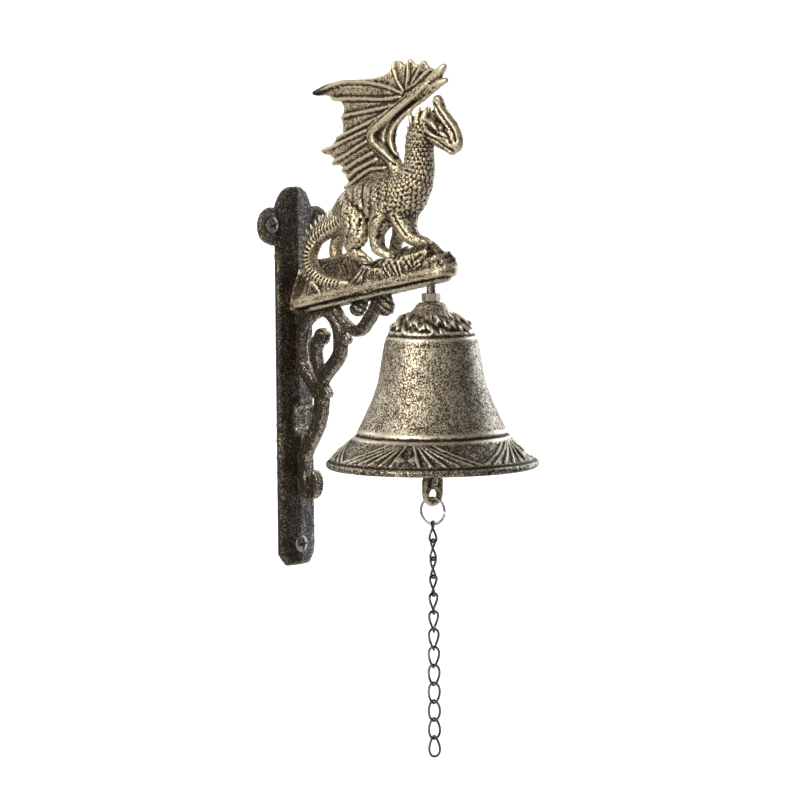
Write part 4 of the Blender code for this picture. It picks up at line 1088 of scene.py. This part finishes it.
# ---- stage
def add_camera():
    data = bpy.data.cameras.new("camera")
    data.sensor_width = 36
    data.lens = 157.5
    data.clip_end = 50
    camera = bpy.data.objects.new("camera", data)
    azimuth, elevation, roll = math.radians(-50), math.radians(4.8), math.radians(0.5)
    back = Vector((math.sin(azimuth) * math.cos(elevation), -math.cos(azimuth) * math.cos(elevation),
                   math.sin(elevation)))
    right = (-back).cross(Vector((0, 0, 1))).normalized()
    up = right.cross(-back)
    across = right * math.cos(roll) - up * math.sin(roll)
    rise = right * math.sin(roll) + up * math.cos(roll)
    place_at = Matrix((across, rise, back)).transposed().to_4x4()
    place_at.translation = (-1.58868, -1.41849, 0.16349)
    camera.matrix_world = place_at
    bpy.context.scene.collection.objects.link(camera)
    bpy.context.scene.camera = camera


def area_light(name, location, target, size, power, colour):
    data = bpy.data.lights.new(name, "AREA")
    data.shape = "RECTANGLE"
    data.size, data.size_y = size
    data.energy = power
    data.color = colour
    light = bpy.data.objects.new(name, data)
    light.location = location
    aim = Vector(target) - Vector(location)
    light.rotation_euler = aim.to_track_quat("-Z", "Y").to_euler()
    bpy.context.scene.collection.objects.link(light)


def build_stage():
    """A white floor that sweeps up behind into a white backdrop, and soft studio lights."""
    floor_z, back_y, radius = -0.9, 3.2, 1.2
    section = [(-8.0, floor_z), (back_y - radius, floor_z)]
    section += [(back_y - radius + radius * math.sin(a), floor_z + radius - radius * math.cos(a))
                for a in np.linspace(0.1, math.pi / 2, 12)]
    section += [(back_y, 6.0)]
    turn = Matrix.Rotation(math.radians(-50), 3, "Z")
    verts, faces = [], []
    for y, z in section:
        verts += [tuple(turn @ Vector((-9, y, z))), tuple(turn @ Vector((9, y, z)))]
    for i in range(len(section) - 1):
        faces.append((2 * i, 2 * i + 1, 2 * i + 3, 2 * i + 2))
    sweep = new_piece("studio_sweep", verts, faces)
    n = Nodes("studio white")
    n.shader.inputs["Base Color"].default_value = (0.93, 0.93, 0.93, 1)
    n.shader.inputs["Roughness"].default_value = 0.9
    sweep.data.materials.append(n.material)
    target = (0, -0.08, 0.03)
    area_light("warm key", (-2.2, 0.0, 0.9), target, (0.8, 1.2), 70, (1.0, 0.96, 0.90))
    area_light("front fill", (-1.4, -1.9, 1.1), target, (1.2, 1.2), 6, (1.0, 0.98, 0.95))
    area_light("cool rim", (2.05, -0.3, 0.3), target, (0.6, 2.2), 24, (0.86, 0.93, 1.0))
    area_light("backdrop left", (-0.2, 2.6, 1.6), (2.2, 2.4, -0.4), (2.0, 2.0), 60, (1, 1, 1))
    area_light("backdrop right", (2.7, 0.3, 1.6), (2.4, 2.2, -0.4), (2.0, 2.0), 60, (1, 1, 1))
    world = bpy.data.worlds.new("studio")
    world.use_nodes = True
    world.node_tree.nodes["Background"].inputs["Color"].default_value = (1, 1, 1, 1)
    world.node_tree.nodes["Background"].inputs["Strength"].default_value = 0.15
    bpy.context.scene.world = world
    bpy.context.scene.view_settings.view_transform = "Standard"


add_camera()
build_stage()
build_backplate()
build_shelf()
build_rock()
build_scrolls()
build_dragon_body()
build_wings()
build_tail()
build_bell()
build_hardware()
build_clapper()
build_ring_and_chain()
